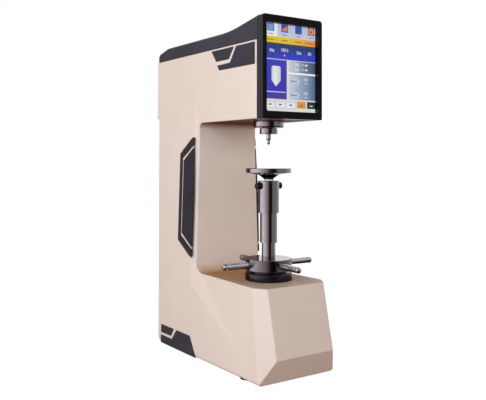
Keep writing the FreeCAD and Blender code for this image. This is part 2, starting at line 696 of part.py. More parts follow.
keep("touch_glass", block("touch_glass", GLASS_LENGTH, "glass", GLASS_HEIGHT, GLASS_X, GLASS_Y, GLASS_Z))
keep("display_panel", block("display_panel", GLASS_LENGTH, "panel_depth", GLASS_HEIGHT,
                            GLASS_X, GLASS_Y + " + glass", GLASS_Z))
spacers = []
for number, (side, height) in enumerate((("-1", "0.25"), ("1", "0.25"), ("-1", "0.75"), ("1", "0.75"))):
    spacer = cylinder(f"spacer_{number}", "spacer_radius", "board_gap", side + " * board_half * 0.8",
                      PANEL_BACK, f"screen_low + {height} * board_height")
    spacer.Placement.Rotation = FreeCAD.Rotation(vec(1, 0, 0), -90)
    spacers.append(spacer)
group("board_spacers", spacers)
keep("control_board", block("control_board", "2 * board_half", "board", "board_height",
                            "-board_half", PANEL_BACK + " + board_gap", "screen_low"))

# Trim on the sides, made once on the left and mirrored

def side_plate(label, outline, thickness, on_lean):
    """A flat piece on the left side; its outline is given in Y and Z."""
    body = doc.addObject("PartDesign::Body", label + "_left")
    sketch = polygon_sketch(body, "YZ_Plane", outline)
    pad = body.newObject("PartDesign::Pad", "Thickness")
    pad.Profile = sketch
    pad.Reversed = True
    bind(pad, Length=thickness)
    if on_lean:
        body.Placement.Rotation = FreeCAD.Rotation(vec(0, 1, 0), math.degrees(math.atan(LEAN)))
    place(body, "-" + BASE_HALF if on_lean else "-head_half")
    keep(label + "_left", body)
    mirrored(label + "_right", body)
    return body


SLANT = "1.18 * trim_gap"
side_plate("column_panel_outer", [
    ("panel_front_y", "panel_low"), ("panel_front_y", "panel_inner_low - " + SLANT),
    ("panel_inner_back_y + trim_gap", "panel_inner_back_low - " + SLANT),
    ("panel_inner_back_y + trim_gap", "panel_inner_back_high + " + SLANT),
    ("panel_front_y", "panel_inner_high + " + SLANT), ("panel_front_y", "panel_high"),
    ("panel_back_y", "panel_back_high"), ("panel_back_y", "panel_back_low")], "side_panel", True)
side_plate("column_panel_inner", [
    ("panel_front_y", "panel_inner_low"), ("panel_front_y", "panel_inner_high"),
    ("panel_inner_back_y", "panel_inner_back_high"), ("panel_inner_back_y", "panel_inner_back_low")],
    "side_panel", True)
side_plate("head_trim_rear", [
    ("rear_trim_back_y", "trim_top_z"), ("rear_trim_front_y", "trim_top_z"),
    ("rear_trim_toe_y", "trim_step_z"), ("rear_trim_heel_y", "trim_step_z")], "trim", False)
side_plate("head_trim_front", [
    ("front_trim_top_y", "trim_top_z"), ("front_trim_y", "trim_top_z"), ("front_trim_y", "trim_low_z"),
    ("front_trim_heel_y", "trim_low_z"), ("front_trim_tip_y", "trim_low_z + front_trim_tip"),
    ("front_trim_notch_y", "trim_low_z + front_trim_notch")], "trim", False)
side_plate("base_trim_upper", [
    ("base_trim_back_y", "base_trim_top"), ("upper_trim_y", "base_trim_top"),
    ("upper_trim_toe_y", "base_trim_step"), ("base_trim_back_y", "base_trim_step")], "trim", True)
side_plate("base_trim_lower", [
    ("lower_trim_top_y", "base_trim_top"), ("lower_trim_y", "base_trim_top"),
    ("lower_trim_toe_y", "base_trim_low"), ("base_trim_back_y", "base_trim_low"),
    ("base_trim_back_y", "base_trim_step - base_trim_gap"),
    ("lower_trim_notch_y", "base_trim_step - base_trim_gap")], "trim", True)

# Rear cover with mains inlet, switch and data port, on the leaning rear face

REAR_LEAN = math.degrees(math.atan(
    (size("rear_y") - size("cover_plate") - size("rear_foot_y")) / size("rear_step_z")))


def on_rear(thing):
    """Stands a piece on the leaning rear face; its own Y then points out of the face."""
    thing.Placement.Rotation = FreeCAD.Rotation(vec(1, 0, 0), -REAR_LEAN)
    place(thing, "0", "rear_foot_y", "0")
    return thing


def socket_body(label, width, height, middle_x):
    """Body and rim of a socket built into the rear cover, in the rear face's frame."""
    rim = block(label + "_rim", f"{width} + 2 * socket_rim", "rim_plate", f"{height} + 2 * socket_rim",
                f"{middle_x} - {width} / 2 - socket_rim", "cover_plate",
                f"socket_z - {height} / 2 - socket_rim")
    core = block(label + "_core", f"{width} - 2 * fit_gap", "inlet_depth + cover_plate",
                 f"{height} - 2 * fit_gap", f"{middle_x} - {width} / 2 + fit_gap", "-inlet_depth",
                 f"socket_z - {height} / 2 + fit_gap")
    return fuse(label + "_body", [rim, core])


def seated(label, shape):
    """One piece in its node, stood on the rear face."""
    seat = doc.addObject("Part::Compound", label)
    seat.Links = [shape]
    return keep(label, on_rear(seat))


INLET = ("inlet_width", "inlet_height", "-socket_x")
SWITCH = ("(switch_width + 2 * switch_wall)", "(switch_height + 2 * switch_wall)", "socket_x")
PORT = ("port_width", "port_height", "0")

COVER_HALF = f"({HATCH_HALF} + hatch_lap)"
cover_blank = block("cover_blank", "2 * " + COVER_HALF, "cover_plate", "rear_step_z - 1 - cover_plate_low",
                    "-" + COVER_HALF, "0", "cover_plate_low")
windows = [block(f"window_{i}", width, "cover_plate + 2", height, f"{x} - ({width}) / 2", "-1",
                 f"socket_z - ({height}) / 2")
           for i, (width, height, x) in enumerate((INLET, SWITCH, PORT))]
vents = [block(f"vent_{i}", "2 * vent_half", "cover_plate + 2", "vent_width", "-vent_half", "-1",
               f"vent_z + {i} * 2.5 * vent_width") for i in range(8)]
seated("rear_cover", cut("cover_cut", cover_blank, windows + vents))

screws = []
for side in ("-1", "1"):
    for height in ("0.04", "0.5", "0.96"):
        screw = cylinder(f"cover_screw_{side}_{height}", "plate_screw", "rim_plate",
                         f"{side} * ({HATCH_HALF} + hatch_lap / 2)", "cover_plate",
                         f"cover_plate_low + {height} * (rear_step_z - cover_plate_low)")
        screw.Placement.Rotation = FreeCAD.Rotation(vec(1, 0, 0), -90)
        screws.append(screw)
screw_set = doc.addObject("Part::Compound", "rear_cover_screws")
screw_set.Links = screws
keep("rear_cover_screws", on_rear(screw_set))

inlet = socket_body("inlet", *INLET)
mouth = block("inlet_mouth", "inlet_width - 6", "inlet_depth", "inlet_height - 6",
              "-socket_x - inlet_width / 2 + 3", "cover_plate + rim_plate - inlet_depth + 7",
              "socket_z - inlet_height / 2 + 3")
pins = [block(f"inlet_pin_{i}", "pin_wide", "pin_length", "pin_high", f"-socket_x + {x} - pin_wide / 2",
              "cover_plate + rim_plate - inlet_depth + 6.9", f"socket_z + {z} - pin_high / 2")
        for i, (x, z) in enumerate(((-7, -2), (7, -2), (0, 2)))]
seated("mains_inlet", fuse("inlet_with_pins", [cut("inlet_shell", inlet, [mouth])] + pins))

switch = socket_body("switch", *SWITCH)
hollow = block("switch_hollow", "switch_width + 2 * fit_gap", "inlet_depth + cover_plate",
               "switch_height + 2 * fit_gap", "socket_x - switch_width / 2 - fit_gap",
               "cover_plate + rim_plate - inlet_depth + 8", "socket_z - switch_height / 2 - fit_gap")
seated("switch_frame", cut("switch_shell", switch, [hollow]))
rocker_blank = cylinder("rocker_blank", "switch_height / 2 - fit_gap", "switch_width",
                        "socket_x - switch_width / 2", "cover_plate - rocker_depth", "socket_z")
rocker_blank.Placement.Rotation = FreeCAD.Rotation(vec(0, 1, 0), 90)
rocker_trim = block("rocker_trim", "switch_width + 2", "switch_height", "switch_height",
                    "socket_x - switch_width / 2 - 1", "cover_plate + rim_plate + 1.2",
                    "socket_z - switch_height / 2")
seated("power_rocker", cut("rocker_cut", rocker_blank, [rocker_trim]))
port = socket_body("port", *PORT)
port_mouth = block("port_mouth", "port_width - 3", "6", "port_height - 3", "-port_width / 2 + 1.5",
                   "cover_plate + rim_plate - 5", "socket_z - port_height / 2 + 1.5")
seated("data_port", cut("port_cut", port, [port_mouth]))

# Rubber feet

feet = []
for side in ("-1", "1"):
    for y in ("foot_front_y", "foot_rear_y"):
        feet.append(cylinder(f"foot_{side}_{y}", "foot_radius", "foot_height", f"{side} * {FOOT_X}", y))
group("rubber_feet", feet)

# Handwheel: flange on the base, thrust washer, hub, nut and four rods

FLANGE_TOP = "base_top + flange_height"
NECK_TOP = FLANGE_TOP + " + neck_height"
HUB_LOW = NECK_TOP + " + washer_proud + fit_gap"
HUB_TOP = HUB_LOW + " + hub_height"


def soften(body, radius, rings, bevel=False):
    """Rounds or bevels round edges of a turned piece, found by radius and height."""
    doc.recompute()
    sharp = body.Tip
    wanted = [(size(ring), size(height)) for ring, height in rings]
    names = []
    for number, edge in enumerate(sharp.Shape.Edges, 1):
        if not isinstance(edge.Curve, Part.Circle):
            continue
        found = (edge.Curve.Radius, edge.Curve.Center.z)
        if any(abs(found[0] - r) < 0.01 and abs(found[1] - z) < 0.01 for r, z in wanted):
            names.append(f"Edge{number}")
    kind = "PartDesign::Chamfer" if bevel else "PartDesign::Fillet"
    rounding = body.newObject(kind, "Softening")
    rounding.Base = (sharp, names)
    if bevel:
        bind(rounding, Size=radius)
    else:
        bind(rounding, Radius=radius)
    body.Tip = rounding
    doc.recompute()


flange = turned("bearing_flange", [
    ("screw_radius + 2", "base_top - 2"), ("bush_radius", "base_top - 2"),
    ("bush_radius", "base_top - spigot_depth"), ("spigot_radius", "base_top - spigot_depth"),
    ("spigot_radius", "base_top"), ("flange_radius", "base_top"), ("flange_radius", FLANGE_TOP),
    ("neck_radius", FLANGE_TOP), ("neck_radius", NECK_TOP), ("washer_radius + fit_gap", NECK_TOP),
    ("washer_radius + fit_gap", NECK_TOP + " + washer_proud - washer"),
    ("screw_radius + 2", NECK_TOP + " + washer_proud - washer")])
soften(flange, "edge_round", [("flange_radius", FLANGE_TOP)])
turned("thrust_washer", [
    ("screw_radius + 4", NECK_TOP + " + washer_proud - washer"),
    ("washer_radius", NECK_TOP + " + washer_proud - washer"),
    ("washer_radius", NECK_TOP + " + washer_proud"), ("screw_radius + 4", NECK_TOP + " + washer_proud")])

ROD_Z = HUB_LOW + " + hub_height / 2"
hub = turned_blank("hub_blank", [
    ("nut_radius", HUB_LOW), ("hub_radius", HUB_LOW), ("hub_radius", HUB_TOP),
    ("screw_radius + 0.5", HUB_TOP), ("screw_radius + 0.5", HUB_LOW + " + nut_height"),
    ("nut_radius", HUB_LOW + " + nut_height")])
soften(hub, "hub_soft", [("hub_radius", HUB_TOP), ("hub_radius", HUB_LOW)])
HOLLOW = "((hub_height / 2 - hub_rim) ^ 2 + (hub_radius - hub_waist) ^ 2) / (2 * (hub_radius - hub_waist))"
hollow_ring = doc.addObject("Part::Torus", "hub_hollow")
bind(hollow_ring, Radius1="hub_waist + " + HOLLOW, Radius2=HOLLOW)
place(hollow_ring, "0", "axis_y", ROD_Z)
ROD_TURNS = [size("rod_turn") + 90 * i for i in range(4)]


def lie_along(thing, angle, z):
    """Lays a piece made upright on the axis out sideways at an angle from +X."""
    out = FreeCAD.Rotation(vec(0, 0, 1), angle).multiply(FreeCAD.Rotation(vec(0, 1, 0), 90))
    thing.Placement.Rotation = out
    place(thing, "0", "axis_y", z)
    return thing


doc.recompute()


def drillings(label, radius, root):
    """Four radial bores of one radius that start at a distance from the axis."""
    bores = [lie_along(cylinder(f"{label}_{i}", radius, "hub_radius + 1"), turn, ROD_Z)
             for i, turn in enumerate(ROD_TURNS)]
    middle = cylinder(label + "_middle", root, "hub_height", "0", "axis_y", HUB_LOW)
    return cut(label, fuse(label + "_set", bores), [middle])


spool = cut("hub_spool", hub, [hollow_ring])
keep("handwheel_hub", cut("handwheel_hub", spool, [
    drillings("rod_bores", "rod_spigot + running_gap", "rod_root - fit_gap"),
    drillings("rod_sockets", "rod_radius + fit_gap", "hub_waist")]))

for i, turn in enumerate(ROD_TURNS):
    rod = turned(f"handle_rod_{i + 1}", [
        ("0", "rod_root"), ("rod_spigot", "rod_root"), ("rod_spigot", "hub_waist + fit_gap"),
        ("rod_radius", "hub_waist + fit_gap"), ("rod_radius", "rod_reach - rod_ball"),
        ("rod_neck", "rod_reach - rod_ball + 1"), ("rod_neck", "rod_reach - rod_ball + 2.5"),
        ("rod_radius", "rod_reach - rod_ball + 3.5"), ("rod_radius", "rod_reach"), ("0", "rod_reach")])
    soften(rod, "rod_radius * 0.72", [("rod_radius", "rod_reach")])
    lie_along(rod, turn, ROD_Z)

turned("elevating_nut", [
    ("screw_radius + running_gap", HUB_LOW), ("nut_radius", HUB_LOW),
    ("nut_radius", HUB_LOW + " + nut_height"), ("screw_radius + running_gap", HUB_LOW + " + nut_height")])

# Elevating screw with guide bush, key and telescoping sleeves

BUSH_TOP = "base_top - 2"
bush_blank = turned_blank("guide_bush_blank", [
    ("screw_radius + running_gap", BUSH_TOP + " - bush_height"),
    ("bush_radius", BUSH_TOP + " - bush_height"),
    ("bush_radius", BUSH_TOP), ("screw_radius + running_gap", BUSH_TOP)])
key_slot = block("key_slot", "2 * key_half", "bush_radius - screw_radius", "bush_height - 4",
                 "-key_half", "axis_y + screw_radius - 1", BUSH_TOP + " - bush_height - 1")
keep("guide_bush", cut("guide_bush_cut", bush_blank, [key_slot]))
keep("screw_key", block("screw_key", "2 * key_half", "bush_radius - screw_radius + key_depth - 1.6",
                        "bush_height - 6", "-key_half", "axis_y + screw_radius - key_depth + fit_gap",
                        BUSH_TOP + " - bush_height"))

STEM_LOW = "upper_sleeve_top - anvil_stem_length"
shaft = cylinder("screw_shaft", "screw_radius", "upper_sleeve_top - sleeve_cap - screw_low",
                 "0", "axis_y", "screw_low")
bore = cylinder("stem_bore", "anvil_stem + running_gap", "anvil_stem_length + 1", "0", "axis_y",
                STEM_LOW + " - fit_gap")
keyway = block("keyway", "2 * (key_half + fit_gap)", "key_depth + 1", "keyway_top - screw_low + 1",
               "-key_half - fit_gap", "axis_y + screw_radius - key_depth", "screw_low - 1")
knob_bore = cylinder("knob_bore", "knob_stem + running_gap", "2 * upper_sleeve_radius + 2",
                     "-upper_sleeve_radius - 1", "axis_y", "knob_z")
knob_bore.Placement.Rotation = FreeCAD.Rotation(vec(0, 1, 0), 90)
keep("elevating_screw", cut("elevating_screw", shaft, [bore, keyway, knob_bore]))

turned("lower_sleeve", [
    ("lower_sleeve_radius - sleeve_wall", HUB_TOP), ("lower_sleeve_radius", HUB_TOP),
    ("lower_sleeve_radius", "lower_sleeve_top - sleeve_lip"),
    ("middle_sleeve_radius - sleeve_wall - running_gap", "lower_sleeve_top - sleeve_lip"),
    ("middle_sleeve_radius - sleeve_wall - running_gap", "lower_sleeve_top"),
    ("lower_sleeve_radius - sleeve_wall", "lower_sleeve_top")])
MIDDLE_TOP = "middle_sleeve_low + middle_sleeve_length"
turned("middle_sleeve", [
    ("lower_sleeve_radius + running_gap", "middle_sleeve_low"),
    ("middle_sleeve_radius", "middle_sleeve_low"),
    ("middle_sleeve_radius", MIDDLE_TOP + " - sleeve_lip"),
    ("upper_sleeve_radius - sleeve_wall - running_gap", MIDDLE_TOP + " - sleeve_lip"),
    ("upper_sleeve_radius - sleeve_wall - running_gap", MIDDLE_TOP),
    ("middle_sleeve_radius - sleeve_wall", MIDDLE_TOP),
    ("middle_sleeve_radius - sleeve_wall", "middle_sleeve_low + sleeve_lip"),
    ("lower_sleeve_radius + running_gap", "middle_sleeve_low + sleeve_lip")])
upper = turned_blank("upper_sleeve_blank", [
    ("middle_sleeve_radius + running_gap", "upper_sleeve_low"), ("upper_sleeve_radius", "upper_sleeve_low"),
    ("upper_sleeve_radius", "upper_sleeve_top"), ("anvil_stem + fit_gap", "upper_sleeve_top"),
    ("anvil_stem + fit_gap", "upper_sleeve_top - sleeve_cap"),
    ("upper_sleeve_radius - sleeve_wall", "upper_sleeve_top - sleeve_cap"),
    ("upper_sleeve_radius - sleeve_wall", "upper_sleeve_low + sleeve_lip"),
    ("middle_sleeve_radius + running_gap", "upper_sleeve_low + sleeve_lip")])
soften(upper, "fit_gap * 3", [("upper_sleeve_radius", "upper_sleeve_top")], bevel=True)
keep("upper_sleeve", cut("upper_sleeve", upper, [knob_bore]))

for side, turn in (("left", 180), ("right", 0)):
    knob = turned(f"knob_screw_{side}", [
        ("0", "anvil_stem + fit_gap"), ("knob_stem", "anvil_stem + fit_gap"),
        ("knob_stem", "upper_sleeve_radius + fit_gap"), ("knob_radius", "upper_sleeve_radius + fit_gap"),
        ("knob_radius", "upper_sleeve_radius + knob_length"), ("0", "upper_sleeve_radius + knob_length")])
    soften(knob, "knob_soft", [("knob_radius", "upper_sleeve_radius + knob_length"),
                               ("knob_radius", "upper_sleeve_radius + fit_gap")])
    lie_along(knob, turn, "knob_z")

anvil = turned("anvil", [
    ("0", STEM_LOW), ("anvil_stem", STEM_LOW), ("anvil_stem", "upper_sleeve_top"),
    ("anvil_neck", "upper_sleeve_top"), ("anvil_neck", "anvil_top - anvil_disc - anvil_cone"),
    ("anvil_neck + 11", "anvil_top - anvil_disc - anvil_cone / 3"),
    ("anvil_radius - 3", "anvil_top - anvil_disc"), ("anvil_radius", "anvil_top - anvil_disc"),
    ("anvil_radius", "anvil_top"), ("0", "anvil_top")])
soften(anvil, "anvil_bevel", [("anvil_radius", "anvil_top"), ("anvil_radius", "anvil_top - anvil_disc")],
       bevel=True)

# Spindle with indenter, hanging in its collar

collar = turned("spindle_collar", [
    ("spindle_radius + running_gap", "collar_low"), ("collar_radius", "collar_low"),
    ("collar_radius", "head_under"), ("collar_spigot", "head_under"),
    ("collar_spigot", "head_under + collar_length"),
    ("spindle_radius + running_gap", "head_under + collar_length")])
soften(collar, "collar_soft", [("collar_radius", "collar_low")])
nose = turned_blank("spindle_blank", [
    ("holder_spigot + running_gap", "nose_low"), ("nose_radius", "nose_low"),
    ("nose_radius", "collar_low - spindle_gap"), ("spindle_radius", "collar_low - spindle_gap"),
    ("spindle_radius", "spindle_top"), ("0", "spindle_top"), ("0", "nose_low + holder_seat"),
    ("holder_spigot + running_gap", "nose_low + holder_seat")])
soften(nose, "nose_bevel", [("nose_radius", "nose_low"), ("nose_radius", "collar_low - spindle_gap")],
       bevel=True)
CLAMP_Z = "nose_low + 0.5 * (collar_low - nose_low)"
clamp_bore = cylinder("clamp_bore", "clamp_radius + running_gap", "nose_radius", "0", "axis_y", CLAMP_Z)
clamp_bore.Placement.Rotation = FreeCAD.Rotation(vec(1, 0, 0), -90)
keep("spindle", cut("spindle", nose, [clamp_bore]))
clamp = turned("indenter_clamp_screw", [
    ("0", "holder_spigot"), ("clamp_radius", "holder_spigot"), ("clamp_radius", "nose_radius - 1"),
    ("0", "nose_radius - 1")])
lie_along(clamp, 90, CLAMP_Z)
HOLDER_LOW = "nose_low - holder_length"
turned("indenter", [
    ("0", TIP_Z + " + tip_cone"), ("shank_radius - 1", TIP_Z + " + tip_cone"),
    ("shank_radius", TIP_Z + " + 2 * tip_cone"), ("shank_radius", HOLDER_LOW + " - holder_taper"),
    ("holder_radius", HOLDER_LOW), ("holder_radius", "nose_low"), ("holder_spigot", "nose_low"),
    ("holder_spigot", "nose_low + holder_seat - fit_gap"), ("0", "nose_low + holder_seat - fit_gap")])
turned("diamond_tip", [
    ("0", TIP_Z), ("0.3", TIP_Z + " + 0.1"), ("shank_radius - 1.3", TIP_Z + " + tip_cone"),
    ("0", TIP_Z + " + tip_cone")])

# Loading drive in the head: load cell, carriage, ball screw, belt and motor

CELL_TOP = "spindle_top + cell_height"
turned("load_cell", [
    ("0", "spindle_top"), ("cell_radius", "spindle_top"), ("cell_radius", CELL_TOP), ("0", CELL_TOP)])
CARRIAGE_TOP = CELL_TOP + " + carriage"
keep("carriage", plate("carriage", [
    ("-" + CARRIAGE_HALF, "-carriage_depth"), (CARRIAGE_HALF, "-carriage_depth"),
    (CARRIAGE_HALF, "carriage_depth"), ("-" + CARRIAGE_HALF, "carriage_depth")], "carriage",
    [("0", "0", "ball_screw_radius + 1"), ("-" + GUIDE_X, "0", "guide_radius + running_gap"),
     (GUIDE_X, "0", "guide_radius + running_gap")], "0", "axis_y", CELL_TOP))
turned("ball_nut", [
    ("ball_screw_radius + running_gap", CARRIAGE_TOP), ("ball_nut_radius", CARRIAGE_TOP),
    ("ball_nut_radius", CARRIAGE_TOP + " + ball_nut_height"),
    ("ball_screw_radius + running_gap", CARRIAGE_TOP + " + ball_nut_height")])
FLOOR = "head_under + wall"
PLATE_LOW = "frame_top - frame_plate"
turned("ball_screw", [
    ("0", CELL_TOP + " + 1"), ("ball_screw_radius", CELL_TOP + " + 1"),
    ("ball_screw_radius", PLATE_LOW + " - fit_gap"), ("ball_screw_neck", PLATE_LOW + " - fit_gap"),
    ("ball_screw_neck", "frame_top + fit_gap + pulley_height + 3"),
    ("0", "frame_top + fit_gap + pulley_height + 3")])
turned("screw_pulley", [
    ("ball_screw_neck + running_gap", "frame_top + fit_gap"), ("pulley_radius", "frame_top + fit_gap"),
    ("pulley_radius", "frame_top + fit_gap + pulley_height"),
    ("ball_screw_neck + running_gap", "frame_top + fit_gap + pulley_height")])

PLATE_BACK = "motor_y - axis_y + motor_half + 2"
frame_plate = plate("frame_plate_top", [
    ("-" + FRAME_HALF, "-frame_front"), (FRAME_HALF, "-frame_front"), (FRAME_HALF, PLATE_BACK),
    ("-" + FRAME_HALF, PLATE_BACK)], "frame_plate",
    [("0", "0", "ball_screw_neck + running_gap"), ("0", "motor_y - axis_y", "motor_shaft + running_gap")],
    "0", "axis_y", PLATE_LOW)
WALL_HEIGHT = PLATE_LOW + " - (" + FLOOR + ")"
side_walls = [block(f"frame_wall_{x}", "frame_plate", "frame_front + frame_back", WALL_HEIGHT,
                    x, "axis_y - frame_front", FLOOR)
              for x in ("-" + FRAME_HALF, FRAME_HALF + " - frame_plate")]
keep("loading_frame", fuse("loading_frame", [frame_plate] + side_walls))
group("guide_rods", [cylinder(f"guide_{x}", "guide_radius", WALL_HEIGHT, x, "axis_y", FLOOR)
                     for x in ("-" + GUIDE_X, GUIDE_X)])
keep("load_motor", block("load_motor", "2 * motor_half", "2 * motor_half", "motor_height", "-motor_half",
                         "motor_y - motor_half", PLATE_LOW + " - motor_height"))
turned("motor_pulley", [
    ("0", PLATE_LOW + " + fit_gap"), ("motor_shaft", PLATE_LOW + " + fit_gap"),
    ("motor_shaft", "frame_top + fit_gap"), ("motor_pulley_radius", "frame_top + fit_gap"),
    ("motor_pulley_radius", "frame_top + fit_gap + pulley_height"),
    ("0", "frame_top + fit_gap + pulley_height")], "0", "motor_y")


def belt_loop(thickness):
    """The outline of a belt round both pulleys, as a flat face at that distance from them."""
    first = vec(0, size("axis_y"), 0)
    second = vec(0, size("motor_y"), 0)
    big = size("pulley_radius") + thickness
    small = size("motor_pulley_radius") + thickness
    lean = math.asin((big - small) / (second - first).Length)
    reach = vec(math.cos(lean), math.sin(lean), 0)
    left = vec(-reach.x, reach.y, 0)
    corners = [first + reach * big, second + reach * small, second + left * small, first + left * big]
    edges = [Part.LineSegment(corners[0], corners[1]).toShape(),
             Part.Arc(corners[1], second + vec(0, small, 0), corners[2]).toShape(),
             Part.LineSegment(corners[2], corners[3]).toShape(),
             Part.Arc(corners[3], first - vec(0, big, 0), corners[0]).toShape()]
    return Part.Face(Part.Wire(edges))


belt = belt_loop(size("belt_gap") + size("belt")).cut(belt_loop(size("belt_gap")))
belt_rise = size("fit_gap") + (size("pulley_height") - size("belt_height")) / 2
belt.translate(vec(0, 0, size("frame_top") + belt_rise))
keep("drive_belt", feature("drive_belt", belt.extrude(vec(0, 0, size("belt_height")))))
keep("displacement_sensor", block("displacement_sensor", "scale_width", "frame_plate", "scale_height",
                                  f"-{FRAME_HALF} + frame_plate", "axis_y - frame_front",
                                  PLATE_LOW + " - scale_height"))

# Power supply in the column

keep("power_supply", block("power_supply", "2 * supply_half", "supply_depth", "supply_height",
                           "-supply_half", "column_front_y + wall", "supply_low"))

# Checks and files

doc.removeObject("Probe")
doc.recompute()
failed = [thing.FullName + " in " + ", ".join(parent.Label for parent in thing.InList)
          for thing in doc.Objects if "Invalid" in thing.State or "Error" in thing.State]
if failed:
    raise RuntimeError("failed: " + "; ".join(failed))
os.makedirs("parts", exist_ok=True)
for label, thing in sorted(nodes.items()):
    shape = thing.Shape
    if shape.isNull() or not shape.isValid() or not shape.Solids:
        raise RuntimeError(f"{label} has no valid solid")
    shape.exportStep(f"parts/{label}.step")
    box = shape.BoundBox
    print(f"{label:24s} solids {len(shape.Solids):2d}, volume {shape.Volume / 1000:9.2f} cm3, "
          f"x {box.XMin:.1f} to {box.XMax:.1f}, y {box.YMin:.1f} to {box.YMax:.1f}, "
          f"z {box.ZMin:.1f} to {box.ZMax:.1f}")
print(len(nodes), "nodes")
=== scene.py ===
# %% [markdown]
# # A bench hardness tester, dressed for its portrait
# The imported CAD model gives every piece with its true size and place. This script adds what CAD leaves out:
# paint, plastics, polished and blackened steel, the picture on the touch screen, a studio and the camera.
# Lengths are in metres, with X to the right, Y to the back and Z up, and the origin on the bench.

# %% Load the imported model
import math

import bpy
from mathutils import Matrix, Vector


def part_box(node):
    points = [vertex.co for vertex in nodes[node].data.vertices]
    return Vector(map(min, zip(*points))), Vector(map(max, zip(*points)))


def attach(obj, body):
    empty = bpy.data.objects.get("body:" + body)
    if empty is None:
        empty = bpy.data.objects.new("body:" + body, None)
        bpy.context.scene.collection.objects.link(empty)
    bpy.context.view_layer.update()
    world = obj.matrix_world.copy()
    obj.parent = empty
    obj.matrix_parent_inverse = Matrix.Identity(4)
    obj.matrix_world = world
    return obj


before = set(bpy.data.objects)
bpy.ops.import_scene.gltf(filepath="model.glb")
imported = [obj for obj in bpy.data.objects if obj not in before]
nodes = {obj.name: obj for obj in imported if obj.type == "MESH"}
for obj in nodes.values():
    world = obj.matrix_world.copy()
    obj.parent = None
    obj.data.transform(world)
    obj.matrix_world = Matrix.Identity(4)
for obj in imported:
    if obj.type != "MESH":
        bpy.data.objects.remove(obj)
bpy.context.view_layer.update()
MM = 0.001

# %% [markdown]
# ## Small tools
# Colours are given as sRGB hex, as a paint card shows them, and shaders want linear light. `add` makes one
# shader node and fills its sockets, either with a value or with another node's output. `grain` is made of it: a
# noise whose grains have a real size. A new material starts empty, and a new mesh rides on the machine's frame,
# so that it stays in place when the handwheel or the indenter moves.

# %% Colour from a hex value


def rgb(code):
    """Linear RGBA of an sRGB hex colour."""
    channels = [int(code[i:i + 2], 16) / 255 for i in (0, 2, 4)]
    linear = [c / 12.92 if c <= 0.04045 else ((c + 0.055) / 1.055) ** 2.4 for c in channels]
    return (*linear, 1.0)


print("mid grey in linear light:", round(rgb("808080")[0], 3))

# %% Nodes and grains


def add(tree, kind, sockets=None, stops=(), **settings):
    """One node of a kind; sockets maps a socket's name or number to a value or an output.
    A colour ramp also gets its stops, as (position, hex) pairs from low to high."""
    made = tree.nodes.new("ShaderNode" + kind)
    for name, value in settings.items():
        setattr(made, name, value)
    for name, value in (sockets or {}).items():
        if isinstance(value, bpy.types.NodeSocket):
            tree.links.new(value, made.inputs[name])
        else:
            made.inputs[name].default_value = value
    if stops:
        elements = made.color_ramp.elements
        elements.remove(elements[-1])
        elements[0].position, elements[0].color = stops[0][0], rgb(stops[0][1])
        for position, code in stops[1:]:
            elements.new(position).color = rgb(code)
    return made


def grain(tree, size_mm, detail=2.0, stretch=(1, 1, 1)):
    """Noise whose grains are about size_mm wide; stretch below 1 makes them longer along an axis."""
    place = add(tree, "TexCoord").outputs["Object"]
    scaled = add(tree, "Mapping", {"Vector": place, "Scale": stretch}).outputs["Vector"]
    made = add(tree, "TexNoise", {"Vector": scaled, "Scale": 1 / (size_mm * MM), "Detail": detail})
    return made.outputs["Fac"]


print("a grain of 1 mm is a noise with a scale of", 1 / MM)

# %% An empty material


def new_material(name):
    """An empty node material, and the tree to build in."""
    material = bpy.data.materials.new(name)
    material.use_nodes = True
    material.node_tree.nodes.clear()
    return material, material.node_tree


# %% A mesh on the machine's frame


def add_mesh(name, corners, faces, material):
    """A mesh with its corners in metres, fixed to the machine."""
    mesh = bpy.data.meshes.new(name)
    mesh.from_pydata(corners, [], faces)
    mesh.materials.append(material)
    made = bpy.data.objects.new(name, mesh)
    bpy.context.scene.collection.objects.link(made)
    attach(made, "machine_frame")


# %% [markdown]
# ## The frame of the picture
# The camera was solved from the photograph: level, turned 34.46 degrees, with a shifted picture, so that all
# upright edges stay upright. A lens shift moves the horizon without tilting the camera.

# %% Camera
camera_data = bpy.data.cameras.new("camera")
camera_data.sensor_width = 36.0
camera_data.lens = 51.18
camera_data.shift_y = -0.0848
camera_data.clip_start = 0.05
camera = bpy.data.objects.new("camera", camera_data)
camera.location = (-0.840, -1.2441, 0.4254)
camera.rotation_euler = (math.pi / 2, 0, -math.radians(34.46))
bpy.context.scene.collection.objects.link(camera)
bpy.context.scene.camera = camera
bpy.context.scene.view_settings.view_transform = "Standard"
print("camera at", tuple(round(c, 3) for c in camera.location), "with a lens of", camera_data.lens, "mm")
